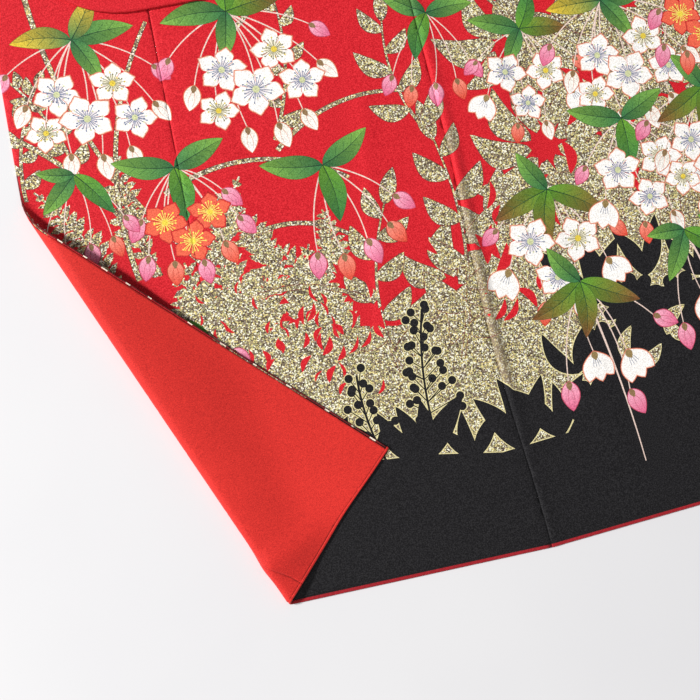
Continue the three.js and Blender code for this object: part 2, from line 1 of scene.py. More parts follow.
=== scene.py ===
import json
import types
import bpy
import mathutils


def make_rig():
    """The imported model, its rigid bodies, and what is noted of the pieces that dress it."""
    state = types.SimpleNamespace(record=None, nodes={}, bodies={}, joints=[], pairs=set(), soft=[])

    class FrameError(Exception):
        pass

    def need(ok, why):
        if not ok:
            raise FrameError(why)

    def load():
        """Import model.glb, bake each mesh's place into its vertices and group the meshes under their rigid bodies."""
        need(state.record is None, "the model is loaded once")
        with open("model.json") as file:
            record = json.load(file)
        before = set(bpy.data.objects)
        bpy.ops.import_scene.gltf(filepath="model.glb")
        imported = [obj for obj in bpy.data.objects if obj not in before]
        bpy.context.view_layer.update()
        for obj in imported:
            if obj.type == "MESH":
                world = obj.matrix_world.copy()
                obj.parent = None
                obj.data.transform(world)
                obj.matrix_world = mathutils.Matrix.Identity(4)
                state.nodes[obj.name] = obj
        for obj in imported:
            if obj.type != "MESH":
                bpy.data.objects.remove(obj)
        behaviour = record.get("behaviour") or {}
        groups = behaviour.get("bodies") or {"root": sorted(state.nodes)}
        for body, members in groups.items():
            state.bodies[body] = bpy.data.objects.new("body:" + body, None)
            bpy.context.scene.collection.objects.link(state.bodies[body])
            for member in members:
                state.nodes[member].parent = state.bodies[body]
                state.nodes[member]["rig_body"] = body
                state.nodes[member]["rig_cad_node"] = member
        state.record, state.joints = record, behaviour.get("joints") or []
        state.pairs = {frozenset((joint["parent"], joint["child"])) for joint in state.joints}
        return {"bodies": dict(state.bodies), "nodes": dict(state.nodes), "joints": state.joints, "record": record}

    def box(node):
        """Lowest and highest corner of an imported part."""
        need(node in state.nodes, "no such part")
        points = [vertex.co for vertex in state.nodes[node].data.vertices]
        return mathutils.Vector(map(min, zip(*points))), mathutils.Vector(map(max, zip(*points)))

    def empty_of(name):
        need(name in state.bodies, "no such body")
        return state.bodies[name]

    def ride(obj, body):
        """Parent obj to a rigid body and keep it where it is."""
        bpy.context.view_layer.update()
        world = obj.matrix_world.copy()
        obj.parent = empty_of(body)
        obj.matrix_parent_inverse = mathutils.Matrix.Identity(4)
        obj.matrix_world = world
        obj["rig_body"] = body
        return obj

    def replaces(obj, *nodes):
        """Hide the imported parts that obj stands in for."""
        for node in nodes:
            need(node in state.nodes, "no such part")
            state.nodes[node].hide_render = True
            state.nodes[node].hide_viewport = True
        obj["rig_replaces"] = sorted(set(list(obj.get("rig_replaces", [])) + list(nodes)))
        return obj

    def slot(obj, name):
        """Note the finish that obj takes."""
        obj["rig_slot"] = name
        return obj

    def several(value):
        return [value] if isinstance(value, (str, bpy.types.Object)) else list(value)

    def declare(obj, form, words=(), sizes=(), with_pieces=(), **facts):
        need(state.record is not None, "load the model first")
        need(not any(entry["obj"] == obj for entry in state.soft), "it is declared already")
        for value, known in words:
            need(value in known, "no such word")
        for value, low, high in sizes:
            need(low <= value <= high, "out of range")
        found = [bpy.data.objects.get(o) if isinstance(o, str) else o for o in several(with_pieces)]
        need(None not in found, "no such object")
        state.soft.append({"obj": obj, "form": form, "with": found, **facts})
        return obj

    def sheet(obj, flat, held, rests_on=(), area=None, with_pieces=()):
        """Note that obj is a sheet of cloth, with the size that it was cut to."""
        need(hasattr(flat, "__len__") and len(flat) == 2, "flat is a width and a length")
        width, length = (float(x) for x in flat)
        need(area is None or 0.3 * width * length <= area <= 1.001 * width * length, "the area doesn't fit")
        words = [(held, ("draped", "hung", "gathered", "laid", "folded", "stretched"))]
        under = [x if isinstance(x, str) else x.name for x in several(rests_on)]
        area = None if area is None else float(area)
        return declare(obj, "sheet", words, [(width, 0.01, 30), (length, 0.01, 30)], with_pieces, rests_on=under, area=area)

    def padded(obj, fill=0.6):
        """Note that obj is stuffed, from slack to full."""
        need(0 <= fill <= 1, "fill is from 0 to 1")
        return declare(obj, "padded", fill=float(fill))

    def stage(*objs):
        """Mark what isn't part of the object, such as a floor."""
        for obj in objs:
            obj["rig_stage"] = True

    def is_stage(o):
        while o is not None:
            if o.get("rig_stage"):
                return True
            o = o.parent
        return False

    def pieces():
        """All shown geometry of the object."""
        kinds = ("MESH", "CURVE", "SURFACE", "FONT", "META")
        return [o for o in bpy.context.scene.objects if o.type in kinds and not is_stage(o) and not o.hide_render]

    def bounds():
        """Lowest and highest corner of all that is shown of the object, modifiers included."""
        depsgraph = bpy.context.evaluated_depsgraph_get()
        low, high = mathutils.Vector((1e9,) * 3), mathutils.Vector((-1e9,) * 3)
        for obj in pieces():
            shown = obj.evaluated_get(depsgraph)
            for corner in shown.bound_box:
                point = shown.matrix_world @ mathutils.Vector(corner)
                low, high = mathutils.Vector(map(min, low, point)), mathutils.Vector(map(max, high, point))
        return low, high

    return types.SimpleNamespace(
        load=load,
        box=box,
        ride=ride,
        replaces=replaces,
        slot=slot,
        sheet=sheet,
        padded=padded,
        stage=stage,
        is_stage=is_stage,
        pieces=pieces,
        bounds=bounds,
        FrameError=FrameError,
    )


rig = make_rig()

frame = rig.load()

import json
import math
import random

import bpy
from mathutils import Matrix, Vector
from mathutils.geometry import delaunay_2d_cdt

cad_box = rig.bounds()

# Plan of the garment: millimetres from the foot of the centre back seam, x to the right, y up
# the back and z up from the floor. to_frame() turns such a place into the shared frame. The seam
# lies half of the CAD's gap past the edge of the left back panel.
HALF_CAD_SEAM = 0.15
back_low, back_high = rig.box("back_left")
plan_origin = Vector((back_high.x + HALF_CAD_SEAM / 1000, back_low.y, 0))


def to_frame(x, y, z):
    return plan_origin + Vector((x, y, z)) / 1000


# Camera: nearly straight down, to the left of the garment and a little above the hem, rolled
# so that the hem rises to the right.
picture_up = Vector((0.2346, 0.97104, 0.04515))
eye, aim = to_frame(-591.1, 217.4, 892.6), to_frame(-448.5, 224.4, 0.7)
camera = bpy.data.objects.new("camera", bpy.data.cameras.new("camera"))
bpy.context.scene.collection.objects.link(camera)
forward = (aim - eye).normalized()
right = forward.cross(picture_up).normalized()
camera.matrix_world = Matrix.Translation(eye) @ Matrix(
    (right, right.cross(forward), -forward)
).transposed().to_4x4()
camera.data.lens = 50
camera.data.clip_start, camera.data.clip_end = 0.05, 20
bpy.context.scene.camera = camera

# Studio: a soft key light from the upper left, a weaker fill from the lower left, and an even
# pale surround. Both lights are aimed at the folded corner.
bpy.context.scene.view_settings.view_transform = "Standard"
bpy.context.scene.view_settings.look = "None"
world = bpy.data.worlds.new("surround")
bpy.context.scene.world = world
world.use_nodes = True
world.node_tree.nodes["Background"].inputs["Color"].default_value = (0.97, 0.965, 1.0, 1)
world.node_tree.nodes["Background"].inputs["Strength"].default_value = 0.25
lit_place = to_frame(-380, 250, 0)
for name, place, size, power in (
    ("key", (-6090, 2680, 4400), 0.9, 672),
    ("fill", (-3900, -1400, 3900), 1.8, 80),
):
    light = bpy.data.lights.new(name, "AREA")
    light.size, light.energy = size, power
    lamp = bpy.data.objects.new(name, light)
    lamp.location = to_frame(*place)
    toward = lit_place - lamp.location
    lamp.rotation_euler = toward.to_track_quat("-Z", "Y").to_euler()
    bpy.context.scene.collection.objects.link(lamp)


def rgb(r, g, b):
    """Scene colour of a screen colour from 0 to 255."""
    return tuple(
        v / 12.92 if v <= 0.04045 else ((v + 0.055) / 1.055) ** 2.4
        for v in (r / 255, g / 255, b / 255)
    )


class Wire:
    """One socket of a node tree, with arithmetic on it."""

    def __init__(self, tree, socket):
        self.tree, self.socket = tree, socket

    def node(self, kind, inputs=(), out=0, **settings):
        made = self.tree.nodes.new(kind)
        for key, value in settings.items():
            setattr(made, key, value)
        for key, value in dict(inputs).items():
            if isinstance(value, Wire):
                self.tree.links.new(value.socket, made.inputs[key])
            else:
                made.inputs[key].default_value = value
        return Wire(self.tree, made.outputs[out])

    def maths(self, operation, other=0.0):
        return self.node("ShaderNodeMath", {0: self, 1: other}, operation=operation)

    def __add__(self, other):
        return self.maths("ADD", other)

    def __sub__(self, other):
        return self.maths("SUBTRACT", other)

    def __mul__(self, other):
        return self.maths("MULTIPLY", other)

    def __rsub__(self, other):
        return self * -1.0 + other

    __radd__, __rmul__ = __add__, __mul__

    def mixed(self, first, second):
        """first where this is 0, second where it is 1."""
        inputs = {0: self, 6: first, 7: second}
        return self.node("ShaderNodeMix", inputs, out=2, data_type="RGBA")

    def ramp(self, stops, interpolation="LINEAR"):
        wire = self.node("ShaderNodeValToRGB", {0: self})
        ramp = wire.socket.node.color_ramp
        ramp.interpolation = interpolation
        while len(ramp.elements) < len(stops):
            ramp.elements.new(0.5)
        for element, (at, colour) in zip(ramp.elements, stops):
            element.position, element.color = at, (*colour, 1)
        return wire


def new_material(name, **principled):
    """Start of a new material's wires, its Object coordinates, and what links the finish up."""
    material = bpy.data.materials.new(name)
    material.use_nodes = True
    tree = material.node_tree
    shader = tree.nodes["Principled BSDF"]
    for key, value in principled.items():
        shader.inputs[key.replace("_", " ")].default_value = value
    start = Wire(tree, None)
    place = start.node("ShaderNodeTexCoord", out=3)

    def finish(colour, roughness, height, depth):
        bump = start.node("ShaderNodeBump", {"Height": height, "Distance": depth, "Strength": 1.0})
        for key, wire in (("Base Color", colour), ("Roughness", roughness), ("Normal", bump)):
            tree.links.new(wire.socket, shader.inputs[key])
        return material

    return start, place, finish


# Floor: a pale matt sheet of studio paper, faintly uneven in tone. It lies just under the
# garment and is no part of it.
start, place, finish = new_material("floor", Specular_IOR_Level=0.2)
cloud = start.node("ShaderNodeTexNoise", {"Vector": place, "Scale": 3.0, "Detail": 3.0})
tone = cloud.ramp(((0.3, rgb(225, 224, 225)), (0.7, rgb(230, 229, 229))))
floor_material = finish(tone, 0.85 + cloud * 0.05, cloud, 0.0005)
floor_mesh = bpy.data.meshes.new("floor")
floor_reach, floor_top = 6, -0.0004
signs = ((-1, -1), (1, -1), (1, 1), (-1, 1))
floor_corners = [(x * floor_reach, y * floor_reach, floor_top) for x, y in signs]
floor_mesh.from_pydata(floor_corners, [], [(0, 1, 2, 3)])
floor_mesh.materials.append(floor_material)
floor = bpy.data.objects.new("floor", floor_mesh)
bpy.context.scene.collection.objects.link(floor)
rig.stage(floor)

# Silk crepe: its dye, with some painted shade, is the colour attribute painted on the cloth, and
# the attribute's alpha says where gold flecks are glued on, lower where painted shade dulls them.
# The flecks are cells a little over a millimetre across, their lightest cells painted glints.
start, place, finish = new_material("dyed_silk", Sheen_Weight=0.06, Specular_IOR_Level=0.28)
dye = start.node("ShaderNodeAttribute", attribute_name="dye")
flecked = Wire(dye.tree, dye.socket.node.outputs["Alpha"])
crepe = start.node("ShaderNodeTexNoise", {"Vector": place, "Scale": 900.0, "Detail": 2.0})
tone = crepe * 1.5 + 0.25
toned = start.node("ShaderNodeVectorMath", {0: dye, 3: tone}, operation="SCALE")
grain = (crepe * 0.07 - 0.033).maths("MAXIMUM", -0.004)
toned = start.node("ShaderNodeVectorMath", {0: toned, 1: grain}, operation="ADD")
cell = start.node("ShaderNodeTexVoronoi", {"Vector": place, "Scale": 960.0}, out=1)
chance = start.node("ShaderNodeSeparateColor", {0: cell})
# Fleck colours: gold foil tones, with the lightest cells painted glints.
flecks = chance.ramp(
    (
        (0.0, rgb(78, 64, 50)),
        (0.2, rgb(120, 104, 90)),
        (0.42, rgb(150, 134, 110)),
        (0.56, rgb(180, 176, 122)),
        (0.7, rgb(232, 214, 140)),
        (0.84, rgb(255, 252, 228)),
    ),
    "CONSTANT",
)
silk = finish(flecked.mixed(toned, flecks), 0.72 - flecked * 0.2, crepe, 0.0001)

# The dyed design in plan places, with painted shade along the free edges. Each shape is a
# closed outline with a tint, which gives the colour of a place, and 1 or 0 for gold flecks.
# Later shapes lie over earlier ones.
RED, BLACK = rgb(208, 20, 34), rgb(17, 15, 18)
WHITE, CREAM, FOIL = rgb(250, 246, 240), rgb(226, 214, 158), rgb(134, 116, 92)
GREY, UNDERLINE = rgb(104, 118, 148), rgb(120, 38, 34)
design = []
dice = random.Random(7)


def plain(colour):
    return lambda x, y: colour


def blended(first, second, start, end):
    """From the first colour at start to the second at end."""
    (x0, y0), (x1, y1) = start, end
    span = (x1 - x0) ** 2 + (y1 - y0) ** 2

    def tint(x, y):
        f = min(max(((x - x0) * (x1 - x0) + (y - y0) * (y1 - y0)) / span, 0), 1)
        return tuple(a + (b - a) * f for a, b in zip(first, second))

    return tint


def stepped(path, step):
    """A path cut into steps; step(x, y) is their length there."""
    made = []
    for (ax, ay), (bx, by) in zip(path, path[1:]):
        long, at = math.hypot(bx - ax, by - ay), 0
        while at == 0 or long - at > 0.4 * step(ax, ay):
            x, y = ax + (bx - ax) * at / long, ay + (by - ay) * at / long
            made.append((x, y))
            at += step(x, y)
    return made + [path[-1]]


def longest_side(x, y):
    return 9


def paint(outline, tint, flecks=0):
    """Adds a shape to the design, with no side longer than the longest one allowed."""
    outline = stepped(outline + outline[:1], longest_side)[:-1]
    around = zip(outline, outline[1:] + outline[:1])
    if sum(a[0] * b[1] - a[1] * b[0] for a, b in around) < 0:
        outline = outline[::-1]
    xs, ys = [x for x, y in outline], [y for x, y in outline]
    tint = plain(tint) if isinstance(tint, tuple) else tint
    design.append((outline, tint, flecks, (min(xs), min(ys), max(xs), max(ys))))


def turned(outline, x, y, angle, size=1.0):
    """An outline turned and scaled about (0, 0), then moved to (x, y)."""
    c, s = math.cos(angle) * size, math.sin(angle) * size
    return [(x + c * u - s * v, y + s * u + c * v) for u, v in outline]


def ribbon(path, width, end_width=None):
    """A band along a path, tapering to end_width."""
    end_width = width if end_width is None else end_width
    left, right = [], []
    for i, (x, y) in enumerate(path):
        (ax, ay), (bx, by) = path[max(i - 1, 0)], path[min(i + 1, len(path) - 1)]
        long = math.hypot(bx - ax, by - ay)
        half = (width + (end_width - width) * i / (len(path) - 1)) / 2
        ox, oy = -(by - ay) / long * half, (bx - ax) / long * half
        left.append((x + ox, y + oy))
        right.append((x - ox, y - oy))
    return left + right[::-1]


def arc(start, end, bow, steps=12):
    """A path that bows to its left by a share of its length."""
    (x0, y0), (x1, y1) = start, end
    path = []
    for i in range(steps + 1):
        f = i / steps
        rise = 4 * f * (1 - f) * bow
        path.append((x0 + (x1 - x0) * f - (y1 - y0) * rise, y0 + (y1 - y0) * f + (x1 - x0) * rise))
    return path


def leaf_shape(length, width, bend=0.0, teeth=0, swell=0.8, grow=0.0):
    """A leaf from (0, 0) along +x. grow makes it that much larger all round."""
    steps = 5 * teeth if teeth else 14
    sides = [[], []]
    for i in range(steps + 1):
        f = i / steps
        half = width / 2 * math.sin(math.pi * f**swell) ** 0.85
        if teeth and 0 < i < steps:
            half *= 1.06 - 0.3 * ((i % 5) / 4)
        half += grow * math.sin(math.pi * f) ** 0.3
        x = -grow + f * (length + 2 * grow)
        middle = bend * length * math.sin(math.pi * f)
        for side, sign in zip(sides, (1, -1)):
            side.append((x, middle + sign * half))
    return sides[0] + sides[1][-2:0:-1]


def gold_leaf(x, y, angle, length, width, bend=0.0, teeth=0, rim=0.5):
    if rim:
        paint(turned(leaf_shape(length, width, bend, teeth, grow=rim), x, y, angle), UNDERLINE)
    paint(turned(leaf_shape(length, width, bend, teeth), x, y, angle), FOIL, 1)


def gold_sprig(path, leaves, length, width, teeth=0, bend=0.12):
    """A gold stem with leaves on both sides, shorter towards its tip."""
    paint(ribbon(path, 4.4, 2.2), UNDERLINE)
    steps = len(path) - 1
    for i in range(leaves):
        f = 0.12 + 0.8 * i / max(leaves - 1, 1)
        at = f * steps
        k = min(int(at), steps - 1)
        (ax, ay), (bx, by) = path[k], path[k + 1]
        x, y = ax + (bx - ax) * (at - k), ay + (by - ay) * (at - k)
        ahead = math.atan2(by - ay, bx - ax)
        side = 1 if i % 2 else -1
        size = 1 - 0.35 * f + dice.uniform(-0.08, 0.08)
        turn = ahead + side * (0.95 - 0.25 * f + dice.uniform(-0.1, 0.1))
        gold_leaf(x, y, turn, length * size, width * size, side * bend, teeth)
    (ax, ay), (bx, by) = path[-2], path[-1]
    gold_leaf(bx, by, math.atan2(by - ay, bx - ax), length * 0.7, width * 0.66, 0, teeth)
    paint(ribbon(path, 3.4, 1.4), FOIL, 1)


def fern(x, y, angle, length, width):
    """A gold frond of small rounded leaflets."""
    bend = dice.uniform(-0.12, 0.12)
    path = arc((x, y), (x + length * math.cos(angle), y + length * math.sin(angle)), bend)
    count = int(length / 5.2)
    for i in range(count):
        f = (i + 1) / (count + 1)
        k = min(int(f * 12), 11)
        (ax, ay), (bx, by) = path[k], path[k + 1]
        ahead = math.atan2(by - ay, bx - ax)
        reach = width * math.sin(math.pi * (0.1 + 0.86 * f)) ** 0.8
        for side in (1, -1):
            turn = ahead + side * dice.uniform(0.75, 1.2)
            long = reach * dice.uniform(0.75, 1.15)
            gold_leaf(ax, ay, turn, long, max(4.5, long * 0.42), side * -0.1, 3, 0)
    paint(ribbon(path, 4, 2), FOIL, 1)


dark = []


def silhouette(x, y, angle, length, width, bend=0.0):
    """A black leaf of the dark ground. Its cream edge is drawn under all the dark shapes."""
    shape, rim = leaf_shape(length, width, bend), leaf_shape(length, width, bend, grow=0.9)
    dark.append((turned(rim, x, y, angle), turned(shape, x, y, angle)))


def disc(x, y, radius, steps=12):
    turns = [i * 2 * math.pi / steps for i in range(steps)]
    return [(x + radius * math.cos(t), y + radius * math.sin(t)) for t in turns]


def berries(x, y, height, count, lean=0.1):
    """A black branch of berries with cream edges."""
    path = arc((x, y), (x + height * lean, y + height), 0.05)
    spots = []
    for i in range(count):
        f = 0.2 + 0.8 * i / count
        ax, ay = path[min(int(f * 12), 12)]
        side = 1 if i % 2 else -1
        reach = (1 - f) * height * 0.3 + 6
        spots.append((ax, ay, ax + side * dice.uniform(0.25, 1.0) * reach, ay + dice.uniform(4, 14)))
    dark.append((ribbon(path, 3.8), ribbon(path, 2.2)))
    for ax, ay, bx, by in spots:
        dark.append((ribbon([(ax, ay - 3), (bx, by)], 2.4), ribbon([(ax, ay - 3), (bx, by)], 1.0)))
        dark.append((disc(bx, by, 4.9), disc(bx, by, 4.1)))


def lobed(x, y, radius, lobes, turn, grow=0.0):
    """A round leaf or flower head with rounded lobes."""
    made = []
    for i in range(lobes * 8):
        t = i * math.tau / (lobes * 8)
        r = radius * (0.74 + 0.26 * abs(math.cos(lobes * t / 2)) ** 0.7) + grow
        made.append((x + r * math.cos(t + turn), y + r * math.sin(t + turn) * 0.86))
    return made


# Tints of a blossom's edge, of the glow inside it, its petals, the deeper middle, the stamens
# and the heart
BLOSSOM_TINTS = {
    "white": (
        rgb(206, 106, 84),
        rgb(244, 196, 170),
        WHITE,
        rgb(236, 226, 224),
        GREY,
        rgb(206, 210, 160),
    ),
    "yellow": (
        rgb(206, 106, 84),
        rgb(244, 196, 170),
        WHITE,
        rgb(240, 232, 206),
        rgb(136, 132, 96),
        rgb(226, 200, 70),
    ),
    "coral": (
        rgb(176, 30, 30),
        rgb(220, 62, 50),
        rgb(236, 100, 72),
        rgb(214, 62, 44),
        rgb(248, 228, 110),
        rgb(236, 210, 70),
    ),
}


def blossom(x, y, radius, turn, kind, lean):
    """Five petals with pointed tips, an edge, petal seams and a ring of stamens."""
    squash = 0.9
    edge, glow, petal, deep, stamen, heart = BLOSSOM_TINTS[kind]
    phase = dice.uniform(0, 3)

    def ring(reach):
        made = []
        for i in range(60):
            t = i * math.tau / 60
            p = (i % 12 - 6) / 6
            tip = 0.13 * max(0, 1 - abs(p) / 0.3)
            r = reach * (0.57 + 0.32 * math.cos(p * math.pi / 2) ** 0.5 + tip)
            r *= 1 + 0.035 * math.sin(3 * t + phase)
            u, v = r * math.cos(t + turn), r * math.sin(t + turn) * squash
            c, s = math.cos(lean), math.sin(lean)
            made.append((x + c * u - s * v, y + s * u + c * v))
        return made

    paint(ring(radius), edge)
    paint(ring(radius - 1.0), glow)
    paint(ring(radius - 2.0), petal)
    for i in range(5):
        t = turn + i * math.tau / 5
        tip = (x + 0.56 * radius * math.cos(t), y + 0.56 * radius * math.sin(t) * squash)
        paint(ribbon([(x, y), tip], 0.55), edge)
    paint(ring(radius * 0.42), deep)
    for i in range(24):
        t = i * math.tau / 24 + dice.uniform(-0.08, 0.08)
        reach = radius * dice.uniform(0.3, 0.56)
        tip = (x + reach * math.cos(t), y + reach * math.sin(t) * squash)
        paint(ribbon([(x, y), tip], 0.62), stamen)
        paint(disc(*tip, 0.85, 6), stamen if i % 3 else heart)
    paint(disc(x, y, radius * 0.13, 8), heart)


def bud(x, y, angle, length, kind):
    """A closed bud that hangs from (x, y) along angle."""
    far = (x + length * math.cos(angle), y + length * math.sin(angle))
    edge, base, tip = {
        "pink": (rgb(188, 70, 96), rgb(246, 176, 196), rgb(222, 96, 136)),
        "coral": (rgb(190, 56, 40), rgb(246, 150, 128), rgb(222, 70, 46)),
        "white": (rgb(214, 120, 84), rgb(238, 230, 214), WHITE),
    }[kind]
    width = length * 0.64
    paint(turned(leaf_shape(length, width, swell=0.84, grow=0.6), x, y, angle), edge)
    tint = blended(base, tip, (x, y), far)
    paint(turned(leaf_shape(length, width - 0.6, swell=0.84), x, y, angle), tint)
    for side in (1, -1):
        vein = arc((length * 0.2, 0), (length * 0.86, side * width * 0.1), side * 0.12, 5)
        paint(turned(ribbon(vein, 0.5, 0.2), x, y, angle), edge)
    paint(turned(leaf_shape(length * 0.32, length * 0.22), x, y, angle), rgb(142, 112, 76))


def open_bud(x, y, angle, length):
    """A half-open white bud: a fan of three petals with stamens."""
    turns = (angle - 0.46, angle + 0.46, angle)
    for grow, tint in ((1.0, rgb(210, 108, 80)), (0.3, rgb(246, 206, 184)), (-0.3, WHITE)):
        for turn in turns:
            paint(turned(leaf_shape(length, length * 0.52, swell=1.2, grow=grow), x, y, turn), tint)
    for turn in (angle - 0.3, angle - 0.1, angle + 0.1, angle + 0.3):
        paint(turned(ribbon([(1, 0), (length * 0.5, 0)], 0.5), x, y, turn), GREY)
    paint(turned(leaf_shape(length * 0.3, length * 0.24), x, y, angle), rgb(150, 126, 80))


def green_leaf(x, y, angle, length, width, ripe=0, bend=0.06):
    """A leaf in two tones with a dark rib. ripe reddens its tip."""
    far = (x + length * math.cos(angle), y + length * math.sin(angle))
    near_tint, far_tint = (
        (rgb(46, 112, 66), rgb(128, 176, 70)),
        (rgb(104, 160, 44), rgb(52, 120, 64)),
        (rgb(96, 158, 44), rgb(134, 78, 44)),
        (rgb(52, 124, 72), rgb(238, 200, 52)),
    )[ripe]
    paint(turned(leaf_shape(length, width, bend, grow=0.3), x, y, angle), rgb(30, 74, 44))
    tint = blended(near_tint, far_tint, (x, y), far)
    paint(turned(leaf_shape(length, width, bend), x, y, angle), tint)
    whole = leaf_shape(length, width, bend)
    rib = [(f * length, bend * length * math.sin(math.pi * f)) for f in (i / 10 for i in range(11))]
    half = rib + whole[len(whole) // 2 + 1 :]

    def shaded(px, py):
        return tuple(0.72 * c for c in tint(px, py))

    paint(turned(half, x, y, angle), shaded)
    paint(turned(ribbon(rib[:10], 0.9, 0.3), x, y, angle), rgb(24, 60, 36))
    for f in (0.25, 0.42, 0.6):
        for side in (1, -1):
            at = (f * length, bend * length * math.sin(math.pi * f))
            tip = (at[0] + width * 0.34, at[1] + side * width * 0.3)
            paint(turned(ribbon([at, tip], 0.35), x, y, angle), rgb(40, 88, 50))


# Sprays: leaves round a node, and heads that hang from it on thin stalks. A leaf's row has its
# angle, length, width and tints, a head's its x and y from the node, kind, length and angle.
# Angles are in degrees from straight down the garment.
LEAVES = {
    "three": ((-112, 54, 20, 0), (104, 50, 20, 0), (-8, 50, 21, 1)),
    "four": ((-98, 56, 20, 0), (92, 52, 20, 2), (160, 44, 19, 1), (-24, 42, 17, 0)),
    "ripe": ((-66, 56, 19, 2), (60, 58, 20, 2), (-10, 50, 20, 2), (-146, 42, 17, 0)),
    "gilt": ((-92, 52, 19, 3), (98, 54, 20, 0), (150, 44, 18, 3), (22, 44, 17, 0)),
    "low": ((-40, 52, 19, 0), (36, 56, 20, 1), (-100, 38, 15, 0)),
}
HEADS = {
    "cluster": (
        (-58, -24, "pink", 21, -40),
        (64, -30, "pink", 20, 44),
        (-46, -52, "white", 22, -30),
        (60, -62, "white", 22, 34),
        (-20, -46, "blossom", 22, 20),
        (28, -42, "yellow", 21, 50),
        (-34, -78, "yellow", 19, 12),
        (42, -74, "blossom", 21, 33),
        (2, -70, "blossom", 25, 4),
        (-16, -98, "white", 22, -8),
        (10, -102, "white", 23, 6),
        (34, -98, "white", 21, 16),
    ),
    "coral": (
        (-40, -36, "pink", 22, -40),
        (34, -30, "pink", 22, 36),
        (-22, -44, "coralblossom", 21, 10),
        (18, -46, "coralblossom", 20, 40),
        (-4, -66, "coralblossom", 21, 25),
        (-44, -68, "pink", 22, -24),
        (-24, -78, "coral", 22, -12),
        (0, -84, "pink", 22, 0),
        (22, -74, "coral", 22, 14),
        (40, -56, "pink", 22, 30),
    ),
    "buds": (
        (-34, -66, "pink", 23, -20),
        (-14, -76, "coral", 23, -8),
        (10, -72, "pink", 24, 6),
        (32, -66, "coral", 23, 22),
        (46, -46, "pink", 22, 38),
    ),
    "pendant": (
        (-38, -80, "pink", 26, -8),
        (-8, -62, "open", 27, 0),
        (22, -70, "open", 29, 18),
        (56, -48, "pink", 24, 56),
        (14, -104, "pink", 25, 16),
        (8, -168, "stalk", 0, 0),
    ),
    "pair": (
        (-50, -30, "pink", 20, -50),
        (54, -34, "coral", 20, 44),
        (-22, -44, "blossom", 24, 30),
        (22, -46, "yellow", 23, 8),
        (-44, -66, "open", 27, -30),
        (46, -66, "open", 26, 30),
        (-2, -78, "blossom", 21, 50),
        (-16, -98, "coral", 21, -10),
        (14, -98, "white", 21, 10),
    ),
}


def spray(x, y, turn, size, leaves, heads):
    """Stalks first, then the leaves over them, then the heads."""
    lean, size = math.radians(turn), size * 1.1

    def at(u, v):
        return turned([(u, v)], x, y, lean, size)[0]

    for u, v, kind, reach, angle in HEADS[heads]:
        bow = 0.07 if u > 0 else -0.07
        width = 2.2 if kind == "stalk" else 1.3
        path = arc((x, y), at(u, v), 0.02 if kind == "stalk" else bow)
        paint(ribbon(path, width * size, 0.9 * size), rgb(232, 206, 192))
    for angle, length, width, ripe in LEAVES[leaves]:
        down = lean - math.pi / 2 + math.radians(angle + dice.uniform(-6, 6))
        green_leaf(x, y, down, length * size, width * size, ripe, dice.uniform(-0.08, 0.08))
    for u, v, kind, reach, angle in HEADS[heads]:
        px, py = at(u, v)
        down = lean - math.pi / 2 + math.radians(angle)
        if kind in ("blossom", "yellow", "coralblossom"):
            name = {"blossom": "white", "yellow": "yellow", "coralblossom": "coral"}[kind]
            blossom(px, py, reach * size, lean + math.radians(angle), name, lean)
        elif kind == "open":
            open_bud(px, py, down, reach * size)
        elif kind != "stalk":
            bud(px, py, down, reach * size, kind)


# Gold grasses and ferns that rise from the hem's dark ground: a bank of flecked foil with
# fronds along its top. They come first, so that all the rest lies over them.
gold_bank = [(-760, 60), (760, 60), (760, 190), (600, 236), (440, 210), (300, 250), (170, 262)]
gold_bank += [(60, 300), (-60, 350), (-120, 320), (-190, 330), (-240, 290), (-286, 250)]
gold_bank += [(-340, 240), (-400, 236), (-470, 252), (-540, 246), (-620, 250), (-700, 220), (-760, 190)]
for i in range(13):
    x, angle = -712 + 23 * i + dice.uniform(-5, 5), math.radians(dice.uniform(80, 108))
    fern(x, 205, angle, dice.uniform(90, 146), dice.uniform(25, 30))
for x, y, angle, length in (
    (-690, 330, 112, 100),
    (-640, 330, 118, 110),
    (-604, 330, 95, 120),
    (-548, 300, 70, 110),
    (-500, 290, 104, 84),
    (-462, 280, 76, 80),
):
    fern(x, y, math.radians(angle), length, 20)
paint(gold_bank, FOIL, 1)


def whorl(x, y, reach, count, length, width, twist, phase):
    """Gold leaves that swirl round a place."""
    for i in range(count):
        t = phase + i * math.tau / count
        size = dice.uniform(0.85, 1.15)
        start = (x + reach * math.cos(t), y + reach * math.sin(t))
        gold_leaf(*start, t + twist, length * size, width * size, 0.2, 0, 0.5)


for x, y, reach, count, length, width, twist, phase in (
    (-262, 284, 10, 8, 66, 30, 0.7, 0.2),
    (-216, 372, 14, 9, 72, 31, -0.6, 0.5),
    (-140, 330, 12, 8, 70, 32, 0.6, 0.1),
    (-150, 436, 14, 9, 70, 30, 0.7, 0.3),
    (-70, 400, 12, 8, 66, 30, -0.7, 0.0),
    (-232, 472, 10, 7, 56, 24, 0.5, 0.6),
    (-96, 500, 12, 8, 60, 26, 0.5, 0.6),
    (-340, 262, 8, 6, 56, 26, 0.5, 0.9),
    (-60, 300, 16, 6, 60, 28, 0.6, 0.3),
    (20, 330, 16, 7, 62, 28, -0.6, 0.4),
    (-20, 430, 14, 6, 56, 24, 0.6, 0.8),
    (110, 290, 16, 7, 60, 26, 0.6, 0.1),
    (210, 280, 14, 6, 56, 24, -0.6, 0.3),
    (330, 260, 14, 7, 54, 24, 0.6, 0.2),
    (470, 250, 14, 7, 54, 24, -0.6, 0.3),
    (610, 260, 14, 7, 54, 24, 0.6, 0.5),
):
    whorl(x, y, reach, count, length, width, twist, phase)

